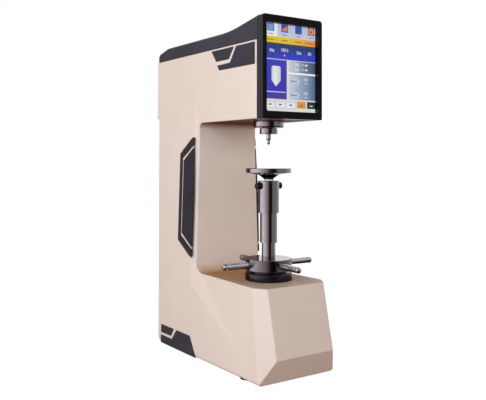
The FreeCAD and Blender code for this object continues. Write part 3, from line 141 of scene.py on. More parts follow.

# %% [markdown]
# ## Enamel on the casting
# The housing is a casting that was filled, ground smooth and sprayed with a two-part enamel in warm beige. Such
# paint is never one flat tone. A slow noise varies the pigment a little, a fine one gives the orange peel, and
# a bevelled normal catches light on the edges that the real casting has rounded. The peel of real enamel is
# about half a millimetre wide and would vanish at this distance, so it is drawn at 1.2 mm.
#
# In the throat the paint sees mostly itself, and each bounce makes the light warmer. The photograph shows more of
# this than a few bounces give, so the roof and the ground of the hollow get a painted shade, darker and warmer, from
# an occlusion mask.
# The photograph's steel, in turn, mirrors hardly any beige, so the enamel is dimmed for the rays that steel sends
# out.

# %% Shade in the throat


def throat(tree, roof, ground):
    """Painted shade: white in the open; in a hollow the roof and the ground are painted darker with their own shade
    colour, walls stay white.
    """
    openness = add(tree, "AmbientOcclusion", {"Distance": 0.35}, samples=8, only_local=True).outputs["AO"]
    hollow = add(tree, "MapRange", {0: openness, 1: 0.95, 2: 0.77}).outputs[0]
    upward = add(tree, "SeparateXYZ", {0: add(tree, "NewGeometry").outputs["Normal"]}).outputs["Z"]
    level = add(tree, "Math", {0: upward}, operation="ABSOLUTE").outputs[0]
    share = add(tree, "Math", {0: hollow, 1: level}, operation="MULTIPLY").outputs[0]
    side = add(tree, "Math", {0: upward, 1: 0.0}, operation="GREATER_THAN").outputs[0]
    shade = add(tree, "Mix", {0: side, 6: rgb(roof), 7: rgb(ground)}, data_type="RGBA").outputs[2]
    return add(tree, "Mix", {0: share, 6: rgb("ffffff"), 7: shade}, data_type="RGBA").outputs[2]


# %% Paint or moulded plastic
MIRRORED_PAINT = 0.3  # how bright the enamel shows in polished steel


def coated(name, light, dark, roughness, grain_mm, bump, edge_mm, cloud_mm=90, specular=0.5, painted_shades=None):
    """Paint or plastic: two close tones, fine grain, softened edges; given shades, a painted shade darkens the roof
    and the ground of a throat, and the paint is dimmed in steel's reflections.
    """
    material, tree = new_material(name)
    cloud = grain(tree, cloud_mm, 3.0)
    speck = grain(tree, grain_mm, 2.0)
    blend = add(tree, "Mix", {0: 0.35, 2: cloud, 3: speck}).outputs[0]
    tone = add(tree, "ValToRGB", {"Fac": blend}, [(0.35, dark), (0.65, light)]).outputs["Color"]
    if painted_shades:
        # painted shade of the throat, multiplied onto the tone; then the paint is dimmed where steel mirrors it
        tone = add(tree, "Mix", {0: 1.0, 6: tone, 7: throat(tree, *painted_shades)}, data_type="RGBA",
                   blend_type="MULTIPLY").outputs[2]
        in_steel = add(tree, "LightPath").outputs["Is Glossy Ray"]
        dim = add(tree, "MapRange", {0: in_steel, 3: 1.0, 4: MIRRORED_PAINT}).outputs[0]
        tone = add(tree, "VectorMath", {0: tone, "Scale": dim}, operation="SCALE").outputs[0]
    soft = add(tree, "Bevel", {"Radius": edge_mm * MM}, samples=6).outputs["Normal"]
    rough = add(tree, "MapRange", {0: speck, 3: roughness - 0.05, 4: roughness + 0.05}).outputs[0]
    skin = add(tree, "Bump", {"Height": speck, "Strength": bump, "Distance": 0.05 * MM, "Normal": soft})
    surface = add(tree, "BsdfPrincipled", {"Base Color": tone, "Roughness": rough, "Specular IOR Level": specular,
                                           "Normal": skin.outputs["Normal"]})
    add(tree, "OutputMaterial", {"Surface": surface.outputs[0]})
    return material


# %% The beige enamel
# Sprayed and half matt: soft, wide highlights and a faint peel
# the last two colours are the painted shade of the throat's roof and ground
beige = coated("sprayed_enamel_beige", light="e6d4ca", dark="e2d0c5", roughness=0.50, grain_mm=1.2, bump=0.10,
               edge_mm=3.0, specular=0.2, painted_shades=("9c664b", "dbad76"))
print("enamel:", beige.name)

# %% [markdown]
# ## Plastics and rubber
# The cover, the raised panels and the trim are moulded ABS in nearly the same dark grey. The moulds are eroded
# by sparks, which leaves a fine leather of about 0.3 mm that scatters highlights. It is drawn at 0.8 mm, or it
# would not show. The knobs, the motor and the inlet are black nylon, which is smoother. The feet are nitrile
# rubber, rough and without a highlight. The circuit board shines through its green solder mask.

# %% Moulded plastics
# Spark-eroded ABS: grey with a blue touch, dull, with a broad sheen on rounded edges
cover_grey = coated("moulded_abs_cover", "3d3942", "343138", 0.45, 0.8, 0.30, 2.2, specular=0.45)
panel_grey = coated("moulded_abs_panel", "322f36", "2a282e", 0.55, 0.8, 0.25, 1.0, specular=0.3)
trim_grey = coated("moulded_abs_trim", "3c3842", "343039", 0.55, 0.8, 0.25, 0.4, specular=0.3)
# Moulded nylon: nearly black and a little glossier
black_plastic = coated("moulded_nylon", "18171a", "0f0e10", 0.42, 0.9, 0.20, 0.6)
# Moulded nitrile rubber: dull and pitted
rubber = coated("nitrile_rubber", "1c1b1b", "121111", 0.8, 0.6, 0.45, 1.0)
# Solder mask over glass fibre: a green lacquer with the weave below it
board_green = coated("solder_mask", "1d5a37", "154a2b", 0.4, 2.0, 0.10, 0.2)
plastics = (cover_grey, panel_grey, trim_grey, black_plastic, rubber, board_green)
print("plastics:", [kind.name for kind in plastics])

# %% [markdown]
# ## The display bezel
# One moulding with two finishes. Its face and the walls of its recess are polished black polycarbonate, and its
# outer sides carry the same eroded grey as the cover, so that the display grows out of the head. Two materials
# on chosen faces would do as well, but the solid comes without marked faces. So one material finds the side by
# place: behind the front edge, beyond the window, and not facing forward.

# %% Two finishes on one moulding


def bezel_plastic(front_y, face_depth, side_from, top_from):
    """Grey on the sides like the cover, glossy black on the face and in the recess; lengths in metres."""
    material, tree = new_material("polished_polycarbonate")
    place = add(tree, "SeparateXYZ", {0: add(tree, "TexCoord").outputs["Object"]})
    facing = add(tree, "SeparateXYZ", {0: add(tree, "NewGeometry").outputs["Normal"]})
    sideways = add(tree, "Math", {0: facing.outputs["Y"], 1: -0.5}, operation="GREATER_THAN").outputs[0]
    behind = add(tree, "Math", {0: place.outputs["Y"], 1: front_y + face_depth}, operation="GREATER_THAN").outputs[0]
    across = add(tree, "Math", {0: place.outputs["X"]}, operation="ABSOLUTE").outputs[0]
    outer = add(tree, "Math", {0: across, 1: side_from}, operation="GREATER_THAN").outputs[0]
    above = add(tree, "Math", {0: place.outputs["Z"], 1: top_from}, operation="GREATER_THAN").outputs[0]
    rim = add(tree, "Math", {0: outer, 1: above}, operation="MAXIMUM").outputs[0]
    turned = add(tree, "Math", {0: sideways, 1: behind}, operation="MULTIPLY").outputs[0]
    side = add(tree, "Math", {0: turned, 1: rim}, operation="MULTIPLY").outputs[0]
    speck = grain(tree, 0.7)
    grey = add(tree, "ValToRGB", {"Fac": speck}, [(0.3, "2a282e"), (0.7, "36333a")]).outputs["Color"]
    black = add(tree, "ValToRGB", {"Fac": speck}, [(0.3, "030303"), (0.7, "070607")]).outputs["Color"]
    tone = add(tree, "Mix", {0: side, 6: black, 7: grey}, data_type="RGBA").outputs[2]
    rough = add(tree, "MapRange", {0: side, 3: 0.28, 4: 0.55}).outputs[0]
    soft = add(tree, "Bevel", {"Radius": 1.0 * MM}, samples=6).outputs["Normal"]
    skin = add(tree, "Bump", {"Height": speck, "Strength": 0.15, "Distance": 0.05 * MM, "Normal": soft})
    surface = add(tree, "BsdfPrincipled", {"Base Color": tone, "Roughness": rough, "Specular IOR Level": 0.3,
                                           "Normal": skin.outputs["Normal"]})
    add(tree, "OutputMaterial", {"Surface": surface.outputs[0]})
    return material


bezel = bezel_plastic(front_y=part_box("display_bezel")[0][1], face_depth=1.1 * MM, side_from=70.0 * MM,
                      top_from=697.0 * MM)
print("bezel:", bezel.name)

# %% [markdown]
# ## Steel
# Turned and ground steel shows fine rings round its axis. They are noise squeezed along the axis: grains that
# are long sideways and short along Z. The colour stays nearly even, the roughness and the bump carry the rings.
# An anisotropic shader stretches highlights as well, but it needs a direction on every face, and noise doesn't.
# A fine turning cut leaves rings of about 0.1 mm, which are drawn at 0.25 mm to show at all.

# %% Machined metal


def steel(name, light, dark, roughness, ring_mm=0.25, bump=0.12, edge_mm=0.5, stretch=(0.02, 0.02, 1)):
    """Machined steel with fine rings or lines."""
    material, tree = new_material(name)
    rings = grain(tree, ring_mm, 2.0, stretch)
    cloud = grain(tree, 12.0, 3.0)
    tone = add(tree, "ValToRGB", {"Fac": cloud}, [(0.3, dark), (0.7, light)]).outputs["Color"]
    rough = add(tree, "MapRange", {0: rings, 1: 0.3, 2: 0.7, 3: roughness * 0.8, 4: roughness * 1.3}).outputs[0]
    soft = add(tree, "Bevel", {"Radius": edge_mm * MM}, samples=6).outputs["Normal"]
    skin = add(tree, "Bump", {"Height": rings, "Strength": bump, "Distance": 0.02 * MM, "Normal": soft})
    surface = add(tree, "BsdfPrincipled", {"Base Color": tone, "Metallic": 1.0, "Roughness": rough,
                                           "Normal": skin.outputs["Normal"]})
    add(tree, "OutputMaterial", {"Surface": surface.outputs[0]})
    return material


# %% The metals of the machine
# Lapped tool steel on sleeves, spindle and collar: sharp dark and light bands
dark_steel = steel("lapped_tool_steel", "c2bac1", "b4acb2", 0.09)
# Turned tool steel on the hub and the clamp screw: the same bands, a little duller
hub_steel = steel("turned_tool_steel", "a29a9f", "948d91", 0.10)
# Dark steel on the bearing flange: darker than the other steels, with dull bands
flange_steel = steel("dark_flange_steel", "5c565a", "504b4f", 0.20)
# Hard chrome on rods, indenter and guide rods: the brightest metal here
bright_steel = steel("hard_chrome", "f4f1f5", "e6e2e7", 0.13)
# Ground steel on screws, key and nut
ground_steel = steel("ground_steel", "b4b0b2", "a19d9f", 0.24)
# Turned bronze on the elevating nut, the bush and the washer
bronze = steel("turned_bronze", "b08a4e", "9b7740", 0.3)
# Milled aluminium on the drive inside the head: straight lines that the cutter left
alloy = steel("milled_aluminium", "c4c6c9", "b2b4b8", 0.35, ring_mm=0.5, bump=0.15, stretch=(1, 0.05, 1))
metals = (dark_steel, hub_steel, flange_steel, bright_steel, ground_steel, bronze, alloy)
print("metals:", [kind.name for kind in metals])

# %% [markdown]
# ## The anvil
# The anvil is one piece of hardened steel in three bands. Its disc is lapped, because the specimen lies on it. The
# cone below is painted nearly black, a painted reflection of the dark under the disc, and the neck is blasted to a
# white satin. Bands by height carry the three, with the borders at the heights where the solid changes its shape.

# %% Three bands by height


def anvil_with_painted_reflection(base, neck_top, disc_low):
    """Polished disc, a cone below it painted nearly black as a painted reflection, and a bright satin neck; heights
    in metres.
    """
    material, tree = new_material("hardened_anvil_steel")
    rings = grain(tree, 0.25, 2.0, (0.02, 0.02, 1))
    place = add(tree, "SeparateXYZ", {0: add(tree, "TexCoord").outputs["Object"]}).outputs["Z"]
    share = add(tree, "MapRange", {0: place, 1: base, 2: disc_low}).outputs[0]
    step = (neck_top - base) / (disc_low - base)
    # the cone's near-black band is a painted reflection of the dark under the disc
    tone = add(tree, "ValToRGB", {"Fac": share}, [
        (0.0, "f4f3f4"), (step, "f4f3f4"), (step + 0.01, "2c282b"), (0.98, "37333a"), (1.0, "bcb4ba")])
    neck = add(tree, "Math", {0: share, 1: step}, operation="LESS_THAN").outputs[0]
    gloss = add(tree, "MapRange", {0: rings, 1: 0.3, 2: 0.7, 3: 0.08, 4: 0.13}).outputs[0]
    rough = add(tree, "Mix", {0: neck, 2: gloss, 3: 0.6}).outputs[0]
    metal = add(tree, "Math", {0: 1.0, 1: neck}, operation="SUBTRACT").outputs[0]
    soft = add(tree, "Bevel", {"Radius": 0.5 * MM}, samples=6).outputs["Normal"]
    skin = add(tree, "Bump", {"Height": rings, "Strength": 0.12, "Distance": 0.02 * MM, "Normal": soft})
    surface = add(tree, "BsdfPrincipled", {"Base Color": tone.outputs["Color"], "Metallic": metal,
                                           "Roughness": rough, "Normal": skin.outputs["Normal"]})
    add(tree, "OutputMaterial", {"Surface": surface.outputs[0]})
    return material


sleeve_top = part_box("upper_sleeve")[1][2]
neck_height = 2.8 * MM
disc_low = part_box("anvil")[1][2] - 8.9 * MM
anvil_steel = anvil_with_painted_reflection(sleeve_top, sleeve_top + neck_height, disc_low)
print("anvil neck starts at", round(sleeve_top, 4), "m")

# %% [markdown]
# ## Glass and diamond
# The touch glass is thin and lies on the picture, so it only adds a faint reflection. A refracting glass would
# darken the picture behind it, so a clear shader with a little gloss at grazing angles takes its place. The
# diamond at the tip is cut and refracts.

# %% Touch glass
glass, tree = new_material("touch_glass")
clear = add(tree, "BsdfTransparent", {"Color": (0.97, 0.98, 1.0, 1.0)})
speck = grain(tree, 6.0)
rough = add(tree, "MapRange", {0: speck, 3: 0.05, 4: 0.09}).outputs[0]
gloss = add(tree, "BsdfGlossy", {"Color": (0.8, 0.85, 0.9, 1.0), "Roughness": rough})
edge = add(tree, "Fresnel", {"IOR": 1.3}).outputs[0]
mix = add(tree, "MixShader", {0: edge, 1: clear.outputs[0], 2: gloss.outputs[0]})
add(tree, "OutputMaterial", {"Surface": mix.outputs[0]})
print("glass:", glass.name)

# %% Cut diamond
diamond, tree = new_material("cut_diamond")
speck = grain(tree, 0.5)
tone = add(tree, "ValToRGB", {"Fac": speck}, [(0.3, "e8ecf2"), (0.7, "d5dbe4")]).outputs["Color"]
surface = add(tree, "BsdfPrincipled", {"Base Color": tone, "Roughness": 0.05, "IOR": 2.4, "Transmission Weight": 0.7})
add(tree, "OutputMaterial", {"Surface": surface.outputs[0]})
print("tip:", diamond.name)

# %% [markdown]
# ## Dressing the CAD pieces
# Each node gets its finish by name, so the dictionary reads like the bill of materials. One material for each
# piece is enough, because bezel and anvil carry their several finishes inside theirs.

# %% The list of finishes
FINISH = {
    "body_casting": beige, "top_cover": cover_grey, "display_bezel": bezel, "touch_glass": glass,
    "display_panel": black_plastic, "board_spacers": alloy, "control_board": board_green,
    "rear_cover": cover_grey, "rear_cover_screws": ground_steel, "mains_inlet": black_plastic,
    "switch_frame": black_plastic, "power_rocker": black_plastic, "data_port": ground_steel,
    "rubber_feet": rubber, "bearing_flange": flange_steel, "thrust_washer": bronze, "guide_bush": bronze,
    "screw_key": ground_steel, "spindle_collar": dark_steel, "loading_frame": alloy,
    "guide_rods": bright_steel, "load_motor": black_plastic, "drive_belt": rubber,
    "displacement_sensor": alloy, "power_supply": alloy, "elevating_screw": ground_steel,
    "upper_sleeve": dark_steel, "anvil": anvil_steel, "middle_sleeve": dark_steel,
    "handwheel_hub": hub_steel, "elevating_nut": bronze, "lower_sleeve": dark_steel,
    "knob_screw_left": black_plastic, "knob_screw_right": black_plastic, "spindle": dark_steel,
    "indenter": bright_steel, "diamond_tip": diamond, "indenter_clamp_screw": hub_steel,
    "load_cell": alloy, "carriage": alloy, "ball_nut": ground_steel, "ball_screw": bright_steel,
    "screw_pulley": alloy, "motor_pulley": alloy}

# %% Every piece gets its finish
for name, thing in nodes.items():
    if name.startswith("handle_rod"):
        finish = bright_steel
    elif name.startswith("column_panel"):
        finish = panel_grey
    elif "_trim_" in name:
        finish = trim_grey
    else:
        finish = FINISH[name]
    thing.data.materials.clear()
    thing.data.materials.append(finish)
print("dressed", len(nodes), "pieces")

# %% [markdown]
# ## The stripe between the column panels
# On the real machine the panel on the column is two mouldings with the housing's beige between them. The gap is
# 4 mm wide and 5 mm deep, and the photograph shows it light, so the enamel must lie close to the panels' face.
# A thin plate in the gap carries it, and the inner panel hides its middle.

# %% Beige plates in the gaps
STRIPE = [(-88.8, 46.0, 230.3), (-87.9, 94.3, 257.3), (-82.3, 94.3, 426.7), (-81.4, 48.8, 454.7)]
for side, name in ((1, "left"), (-1, "right")):
    corners = [(side * x * MM, y * MM, z * MM) for x, y, z in STRIPE]
    add_mesh(f"panel_stripe_{name}", corners, [range(4)], beige)
print("stripe on both sides,", len(STRIPE), "corners each")

# %% [markdown]
# ## The front edges of the column panels
# In the photograph the panels reach 6 to 11 mm further to the front than the solids do. Thin lips carry them on,
# in the plane of their outer faces: one for each end of the outer panel and one for the inner panel. The solids
# stay as they are, so the lips are pieces of their own, each an outline that is given a thickness.

# %% Lips in front of the panels
LEAN = 19 / 572.8  # the column's sides lean in by 19 mm over this height
PANEL_FOOT = 215.4  # height of the panels' lowest corner
PANEL_FACE = 90.3  # from the middle plane to the panels' face at their foot
LIPS = {"low": [(54.9, 215.4), (45.3, 213.0), (45.3, 228.9), (54.9, 235.3)],
        "middle": [(54.9, 240.0), (45.3, 235.0), (44.3, 290.0), (44.3, 360.0), (48.0, 448.8), (54.9, 445.9)],
        "high": [(54.9, 450.6), (48.2, 455.6), (48.6, 471.8), (54.9, 471.5)]}
LIP_THICKNESS = 2.0
for side, name in ((1, "left"), (-1, "right")):
    for part, outline in LIPS.items():
        count = len(outline)
        corners = [(side * (LEAN * (z - PANEL_FOOT) - PANEL_FACE + depth) * MM, y * MM, z * MM)
                   for depth in (0.0, LIP_THICKNESS) for y, z in outline]
        walls = [(i, (i + 1) % count, (i + 1) % count + count, i + count) for i in range(count)]
        faces = [tuple(range(count)), tuple(range(2 * count - 1, count - 1, -1)), *walls]
        add_mesh(f"panel_lip_{part}_{name}", corners, faces, panel_grey)
print("lips:", 2 * len(LIPS))

# %% [markdown]
# ## The picture on the screen
# The display shows a light sheet with tabs, values and a sketch of the indenter. It is lit from behind, so every
# colour here gives light of its own. An image on one plane would be quicker, but it needs a file and blurs from
# near. So each field is a thin plate just in front of the panel, a hair in front of the field below it. Captions
# are plain bars, numbers are digits.

# %% Self-lit colours
screen_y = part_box("display_panel")[0][1]
layer_gap = 0.05 * MM
print("panel's face at", round(screen_y, 4), "m, fields", round(layer_gap / MM, 3), "mm apart")


def lit(name, stops, low, high, axis="Z", glow=0.92):
    """A self-lit colour that runs through stops from low to high, in millimetres along X or Z."""
    material, tree = new_material(name)
    place = add(tree, "TexCoord").outputs["Object"]
    along = add(tree, "SeparateXYZ", {0: place}).outputs[axis]
    share = add(tree, "MapRange", {0: along, 1: low * MM, 2: high * MM}).outputs[0]
    tone = add(tree, "ValToRGB", {"Fac": share}, stops).outputs["Color"]
    cell = grain(tree, 0.5)
    level = add(tree, "MapRange", {0: cell, 3: glow * 0.94, 4: glow * 1.06}).outputs[0]
    surface = add(tree, "BsdfPrincipled", {
        "Base Color": (0.01, 0.01, 0.01, 1.0), "Roughness": 0.5, "Specular IOR Level": 0.1,
        "Emission Color": tone, "Emission Strength": level})
    add(tree, "OutputMaterial", {"Surface": surface.outputs[0]})
    return material


# %% Plates and digits
FONT_PER_DIGIT = 1.35  # the font's size over the height of its digits


def plate(name, outline, material, layer):
    """A flat field on the screen; outline is a list of (x, z) corners in millimetres."""
    y = screen_y - layer * layer_gap
    add_mesh(name, [(x * MM, y, z * MM) for x, z in outline], [range(len(outline))], material)


def rect(x0, x1, z0, z1):
    """The four corners of an upright rectangle."""
    return [(x0, z0), (x1, z0), (x1, z1), (x0, z1)]


def digits(name, text, x, z, height, material, layer):
    """Generic digits, centred on (x, z) in millimetres."""
    curve = bpy.data.curves.new(name, "FONT")
    curve.body = text
    curve.size = height * MM * FONT_PER_DIGIT
    curve.align_x = "CENTER"
    curve.align_y = "CENTER"
    curve.materials.append(material)
    made = bpy.data.objects.new(name, curve)
    made.location = (x * MM, screen_y - layer * layer_gap, z * MM)
    made.rotation_euler = (math.pi / 2, 0, 0)
    bpy.context.scene.collection.objects.link(made)
    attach(made, "machine_frame")


# %% The colours of the picture
pale = lit("screen_pale", [(0.0, "e4e3de"), (1.0, "eeeef2")], 516, 686)
tab_grey = lit("screen_tab", [(0.0, "cdd2e2"), (1.0, "bcc3d8")], 660, 686)
tab_white = lit("screen_tab_white", [(0.0, "f3f2ee"), (1.0, "e6e8ee")], 660, 686)
band = lit("screen_band", [(0.0, "e3c62c"), (0.5, "e8cc33"), (0.68, "eeb740"), (1.0, "f09239")], -64, 64, "X")
band_mark = lit("screen_band_mark", [(0.0, "b8932f"), (1.0, "c1752f")], -64, 64, "X")
value_blue = lit("screen_values", [(0.0, "3b41d0"), (0.35, "3646b2"), (0.75, "2f3f7c"), (1.0, "37455f")], 618, 649)
value_line = lit("screen_value_line", [(0.0, "4b55c8"), (1.0, "4e5c7c")], 618, 649)
panel_blue = lit("screen_blue", [(0.0, "3d38ae"), (1.0, "3f45bc")], 541, 616)
low_blue = lit("screen_low_blue", [(0.0, "4a40ac"), (1.0, "473fb4")], 541, 554)
sketch = lit("screen_sketch", [(0.0, "c3cbc8"), (0.35, "f1f2f0"), (1.0, "cfd3d6")], -45, -23, "X")
top_grey = lit("screen_top_grey", [(0.0, "d5d8da"), (0.3, "aeb8c4"), (0.65, "6a7a8e"), (1.0, "465266")], -3, 64, "X")
low_grey = lit("screen_low_grey", [(0.0, "d3d9e2"), (0.4, "a3b1c8"), (1.0, "566a92")], -3, 64, "X")
white = lit("screen_white", [(0.0, "f7f8fa"), (1.0, "ffffff")], 516, 686)
button_white = lit("screen_button", [(0.0, "f4f3f4"), (1.0, "e9e8ee")], 524, 536)
mark_grey = lit("screen_mark_grey", [(0.0, "6b6f7c"), (1.0, "7c8292")], 516, 686)
mark_blue = lit("screen_mark_blue", [(0.0, "5a8cae"), (1.0, "6a86a8")], -64, 64, "X")
tag_grey = lit("screen_tag", [(0.0, "c3cedb"), (1.0, "cdd6e1")], 541, 615)
tag_mark = lit("screen_tag_mark", [(0.0, "8795ab"), (1.0, "94a2b6")], 541, 615)
orange = lit("screen_orange", [(0.0, "e98f33"), (1.0, "f0a044")], 524, 539)
green = lit("screen_green", [(0.0, "1d3326"), (1.0, "28442f")], 524, 539)
icon_blue = lit("screen_icon_blue", [(0.0, "2f78b8"), (1.0, "3c6fb8")], 671, 686)
icon_navy = lit("screen_icon_navy", [(0.0, "3a4fa8"), (1.0, "35459c")], 671, 686)
icon_orange = lit("screen_icon_orange", [(0.0, "ea8a38"), (1.0, "f09c4a")], 671, 686)
bronze_line = lit("screen_bronze", [(0.0, "d39a62"), (1.0, "cf9a6c")], 516, 686)
print("screen colours:", sum(kind.name.startswith("screen_") for kind in bpy.data.materials))

# %% [markdown]
# ## The fields of the picture
# They are laid out from top to bottom, as a sign painter would: tabs, band, values, sketch, readings, buttons.
# Places are in millimetres, sideways from the middle plane and upwards from the bench.

# %% The sheet and its tabs
SIDE = 64.5  # half the width of the screen's window
plate("screen_sheet", rect(-SIDE, SIDE, 516.9, 686.5), pale, 1)

TABS = [-SIDE, -30.1, 4.1, 36.8, SIDE]
ICONS = [-46.6, -12.7, 21.8, 54.0]
for i, middle in enumerate(ICONS):
    number = i + 1
    plate(f"screen_tab_{number}", rect(TABS[i], TABS[i + 1], 661.2, 686.5), tab_grey if i else tab_white, 2)
    plate(f"screen_icon_{number}", rect(middle - 8.3, middle + 8.3, 671.0, 685.6), icon_navy if i else icon_blue, 3)
    plate(f"screen_tab_caption_{number}", rect(middle - 5.5, middle + 5.5, 665.2, 666.8), mark_blue, 3)
for i in range(3):
    low = 673.4 + 3.8 * i
    plate(f"screen_icon_grid_{i + 1}", rect(ICONS[0] - 5.5, ICONS[0] + 5.5, low, low + 1.6), tab_grey, 4)
    plate(f"screen_icon_bar_{i + 1}", rect(ICONS[1] - 5.4 + 4 * i, ICONS[1] - 2.0 + 4 * i, 673.2, 677.6 + 2.6 * i),
          icon_orange, 4)
    plate(f"screen_icon_row_{i + 1}", rect(ICONS[2] - 5.5, ICONS[2] + 5.5, low, low + 1.2), icon_blue, 4)
plate("screen_icon_frame", rect(ICONS[2] - 8.3, ICONS[2] + 8.3, 670.4, 671.2), bronze_line, 4)
print("tabs:", len(ICONS))

# %% The gear on the last tab


def ring_of(x, z, radii, steps, phase=0.0):
    """Corners on circles round (x, z); the radii take turns."""
    turns = [2 * math.pi * (j + phase) / steps for j in range(steps)]
    return [(x + radii[j % len(radii)] * math.cos(turn), z + radii[j % len(radii)] * math.sin(turn))
            for j, turn in enumerate(turns)]


plate("screen_icon_gear", ring_of(ICONS[3], 678.4, (8.4, 8.4, 6.4, 6.4), 32, 0.5), icon_orange, 4)
plate("screen_icon_gear_hole", ring_of(ICONS[3], 678.4, (2.4,), 20), icon_navy, 5)
print("gear at", ICONS[3], "mm from the middle")

# %% The orange band and the values below it
plate("screen_band", rect(-SIDE, SIDE, 649.1, 661.2), band, 2)
plate("screen_values", rect(-SIDE, SIDE, 618.2, 649.1), value_blue, 2)
VALUES = [("40", -46.2, 634.0, 8.5), ("100.0", -13.2, 636.2, 7.5), ("30", 20.5, 633.6, 9.3), ("60", 49.9, 634.0, 9.5)]
for number, (value, x, z, reach) in enumerate(VALUES, 1):
    plate(f"screen_band_caption_{number}", rect(x - reach, x + reach, 653.6, 656.2), band_mark, 3)
    digits(f"screen_value_{number}", value, x, z, 6.4, white, 4)
for number, x in enumerate(TABS[1:4], 1):
    plate(f"screen_divider_{number}", rect(x - 0.5, x + 0.5, 649.1, 661.2), band_mark, 4)
    plate(f"screen_value_divider_{number}", rect(x - 0.4, x + 0.4, 618.2, 649.1), value_line, 4)
for number, x in enumerate((-39.9, 27.0), 1):
    plate(f"screen_value_mark_{number}", rect(x - 1.2, x + 1.2, 631.6, 635.2), white, 4)
plate("screen_value_unit", rect(-14.4, -12.0, 625.0, 627.8), white, 4)
print("values:", [value[0] for value in VALUES])

# %% The sketch of the indenter
plate("screen_frame", rect(-SIDE, -7.0, 540.4, 617.3), bronze_line, 2)
plate("screen_blue_field", rect(-SIDE, -7.9, 541.4, 616.4), panel_blue, 3)
plate("screen_blue_low", rect(-SIDE, -7.9, 541.4, 553.6), low_blue, 4)
plate("screen_sketch_line", rect(-SIDE, -10.4, 553.6, 555.6), tag_grey, 5)
TIP = [(-33.9, 565.1), (-22.6, 577.0), (-22.6, 602.2), (-25.4, 604.5), (-42.2, 604.5), (-44.8, 602.2), (-44.8, 577.0)]
plate("screen_sketch_tip", TIP, sketch, 5)
print("sketch corners:", len(TIP))

# %% Readings on the right
SMALL_READINGS = (610.2, 600.7)  # heights of their middles
READINGS = (577.5, 550.0)
plate("screen_right_top", rect(-3.1, SIDE, 594.4, 617.3), top_grey, 2)
plate("screen_right_line", rect(-3.1, SIDE, 591.0, 594.4), white, 3)
plate("screen_right_low", rect(-3.1, SIDE, 541.2, 591.0), low_grey, 2)


def tag(name, left, right, low, high, material):
    """A label with its point to the right."""
    point = (high - low) * 0.42
    plate(name, [(left, low), (right - point, low), (right, (low + high) / 2), (right - point, high), (left, high)],
          material, 3)


for number, z in enumerate(SMALL_READINGS, 1):
    tag(f"screen_small_tag_{number}", 11.4, 24.0, z - 3.4, z + 3.4, tag_grey)
    digits(f"screen_small_value_{number}", "1.0", 32.2, z + 1.0, 4.0, white, 4)
    plate(f"screen_small_unit_{number}", rect(38.2, 44.8, z - 0.8, z + 2.0), white, 4)
for number, z in enumerate(READINGS, 1):
    tag(f"screen_tag_{number}", 0.0, 25.5, z - 6.2, z + 6.2, tag_grey)
    plate(f"screen_tag_caption_{number}", rect(2.0, 18.5, z - 1.4, z + 1.4), tag_mark, 4)
    digits(f"screen_reading_{number}", "0.0", 40.6, z + 4.6, 6.4, white, 4)
    plate(f"screen_reading_unit_{number}", rect(37.6, 45.8, z - 4.0, z - 1.8), tag_grey, 4)
print("readings:", len(SMALL_READINGS) + len(READINGS))

# %% Buttons along the bottom
BUTTONS = [(-SIDE, -37.4, 535.6, button_white), (-33.8, -12.4, 535.6, button_white),
           (-8.9, 13.9, 535.6, button_white), (17.7, 40.2, 538.6, orange), (43.7, SIDE, 538.6, green)]
CAPTION_FROM = -59.0  # the first caption is centred as if its button started here
plate("screen_button_strip", rect(-SIDE, 15.8, 523.4, 537.4), tab_grey, 2)
for number, (left, right, top, colour) in enumerate(BUTTONS, 1):
    plate(f"screen_button_{number}", rect(left, right, 524.8, top), colour, 3)
    middle = (max(left, CAPTION_FROM) + right) / 2
    caption = tag_grey if colour is green else mark_grey
    plate(f"screen_button_caption_{number}", rect(middle - 3.9, middle + 3.9, 529.0, 531.6), caption, 4)
print("buttons:", len(BUTTONS))

# %% [markdown]
# ## Studio
# A white world behind everything, a pale floor that keeps the shadow, and light that comes mostly from the
# left. What the paint sees is a sky whose brightness depends on direction; what the steel mirrors is a darker
# room with softboxes, because bright metal needs something dark to reflect. A photographed room would do that
# too, but needs a file, and a colour ramp round the horizon draws one with a few bands.

# %% What paint and steel see


def belt(tree, tint, narrow):
    """Light round the horizon that fades towards ceiling and floor."""
    way = add(tree, "SeparateXYZ", {0: add(tree, "TexCoord").outputs["Generated"]})
    height = add(tree, "Math", {0: way.outputs["Z"], 1: way.outputs["Z"]}, operation="MULTIPLY").outputs[0]
    level = add(tree, "Math", {0: 1.0, 1: height}, operation="SUBTRACT").outputs[0]
    faded = add(tree, "Math", {0: level, 1: narrow}, operation="POWER").outputs[0]
    return add(tree, "VectorMath", {0: tint, "Scale": faded}, operation="SCALE").outputs[0]


def room(tree, strip, ceiling, zenith, ground):
    """The room that polished steel mirrors. The strip holds its walls as (degrees from the front, colour), with
    the right side positive. Heights are sines of the elevation: 0.25 to 0.6 is 14 to 37 degrees."""
    way = add(tree, "SeparateXYZ", {0: add(tree, "TexCoord").outputs["Generated"]})
    back = add(tree, "Math", {0: way.outputs["Y"], 1: -1.0}, operation="MULTIPLY").outputs[0]
    angle = add(tree, "Math", {0: way.outputs["X"], 1: back}, operation="ARCTAN2").outputs[0]
    share = add(tree, "MapRange", {0: angle, 1: -math.pi, 2: math.pi}).outputs[0]
    stops = [((degrees + 180) / 360, colour) for degrees, colour in strip]
    walls = add(tree, "ValToRGB", {"Fac": share}, stops).outputs["Color"]
    height = add(tree, "MapRange", {0: way.outputs["Z"], 1: 0.25, 2: 0.6}).outputs[0]
    upper = add(tree, "Mix", {0: height, 6: walls, 7: rgb(ceiling)}, data_type="RGBA").outputs[2]
    top = add(tree, "MapRange", {0: way.outputs["Z"], 1: 0.7, 2: 0.95}).outputs[0]
    upper = add(tree, "Mix", {0: top, 6: upper, 7: rgb(zenith)}, data_type="RGBA").outputs[2]
    depth = add(tree, "MapRange", {0: way.outputs["Z"], 1: -0.12, 2: -0.45}).outputs[0]
    return add(tree, "Mix", {0: depth, 6: upper, 7: rgb(ground)}, data_type="RGBA").outputs[2]


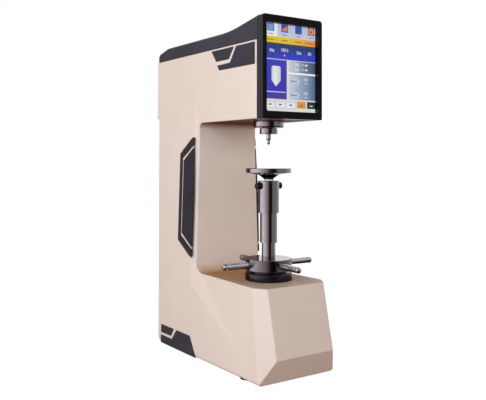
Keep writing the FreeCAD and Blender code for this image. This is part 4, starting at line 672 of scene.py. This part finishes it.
# %% The world
world = bpy.data.worlds.new("studio")
world.use_nodes = True
sky = world.node_tree
sky.nodes.clear()
ROOM_STRIP = [(-180, "302a28"), (-148, "423e3e"), (-134, "ffffff"), (-104, "ffffff"), (-71, "cbcbcb"),
              (-46, "9e8c82"), (-30, "40352e"), (-20, "0c0a09"), (-3, "0c0c0c"), (16, "88898d"),
              (50, "818280"), (98, "c5c8c4"), (140, "ffffff"), (180, "ffffff")]
CEILING = "d2d1d6"
ZENITH = "2c2b2e"
GROUND = "17120f"
felt_light = belt(sky, (1.29, 1.16, 1.01), 2.0)
mirrored_light = room(sky, ROOM_STRIP, CEILING, ZENITH, GROUND)
ray = add(sky, "LightPath")
seen = add(sky, "Background", {"Color": (1, 1, 1, 1), "Strength": 1.0})
felt = add(sky, "Background", {"Color": felt_light, "Strength": 1.0})
mirrored = add(sky, "Background", {"Color": mirrored_light, "Strength": 1.0})
surroundings = add(sky, "MixShader", {0: ray.outputs["Is Glossy Ray"], 1: felt.outputs[0], 2: mirrored.outputs[0]})
backdrop = add(sky, "MixShader", {0: ray.outputs["Is Camera Ray"], 1: surroundings.outputs[0], 2: seen.outputs[0]})
add(sky, "OutputWorld", {"Surface": backdrop.outputs[0]})
bpy.context.scene.world = world
print("room with", len(ROOM_STRIP), "bands")

# %% [markdown]
# ## Lamps
# The photograph is lit from the left by one large soft light. A second, weaker and cooler one from the front
# left lifts the corner facets, which are the brightest faces in the photograph.

# %% Two softboxes


def softbox(name, location, target, width, height, power, tint):
    """A rectangular light that faces a point."""
    data = bpy.data.lights.new(name, "AREA")
    data.shape = "RECTANGLE"
    data.size = width
    data.size_y = height
    data.energy = power
    data.color = tint
    lamp = bpy.data.objects.new(name, data)
    lamp.location = location
    lamp.rotation_euler = (Vector(target) - Vector(location)).to_track_quat("-Z", "Y").to_euler()
    lamp.visible_glossy = False
    bpy.context.scene.collection.objects.link(lamp)
    print(name, "gives", power, "W")


heart = (0, -0.1, 0.35)
softbox("left_softbox", (-1.7, -0.75, 0.75), heart, width=0.9, height=1.5, power=22.6, tint=(0.77, 0.88, 0.98))
softbox("front_left_softbox", (-1.5, -1.9, 0.9), heart, width=0.8, height=1.2, power=6.5, tint=(0.25, 0.58, 1.0))

# %% [markdown]
# ## The floor
# A seamless sheet of pale paper. The camera sees it lifted to white, where it still keeps the soft shadow under
# the machine. Light that it throws back is warmer and darker than it looks, as in the photograph, and the steel
# looks through it, because the room's own floor is the better thing to mirror.

# %% A pale sheet
floor_material, tree = new_material("matt_paper")
speck = grain(tree, 40.0)
tone = add(tree, "ValToRGB", {"Fac": speck}, [(0.3, "eef2f8"), (0.7, "f3f6fb")]).outputs["Color"]
ray = add(tree, "LightPath")
diffuse = add(tree, "BsdfDiffuse", {"Color": tone})
bounce_tone = add(tree, "ValToRGB", {"Fac": speck}, [(0.3, "b49a8c"), (0.7, "b89e90")]).outputs["Color"]
bounce = add(tree, "BsdfDiffuse", {"Color": bounce_tone})
lift = add(tree, "Emission", {"Color": (1, 1, 1, 1), "Strength": 0.72})
shown = add(tree, "AddShader", {0: diffuse.outputs[0], 1: lift.outputs[0]})
open_floor = add(tree, "BsdfTransparent", {"Color": (1, 1, 1, 1)})
unseen = add(tree, "MixShader", {0: ray.outputs["Is Glossy Ray"], 1: bounce.outputs[0], 2: open_floor.outputs[0]})
sheet = add(tree, "MixShader", {0: ray.outputs["Is Camera Ray"], 1: unseen.outputs[0], 2: shown.outputs[0]})
add(tree, "OutputMaterial", {"Surface": sheet.outputs[0]})
floor_mesh = bpy.data.meshes.new("floor")
reach = 6.0
floor_mesh.from_pydata([(-reach, -reach, 0), (reach, -reach, 0), (reach, reach, 0), (-reach, reach, 0)],
                       [], [(0, 1, 2, 3)])
floor_mesh.materials.append(floor_material)
floor = bpy.data.objects.new("floor", floor_mesh)
floor.location.z = -0.2 * MM
bpy.context.scene.collection.objects.link(floor)
print("floor reaches", reach, "m")
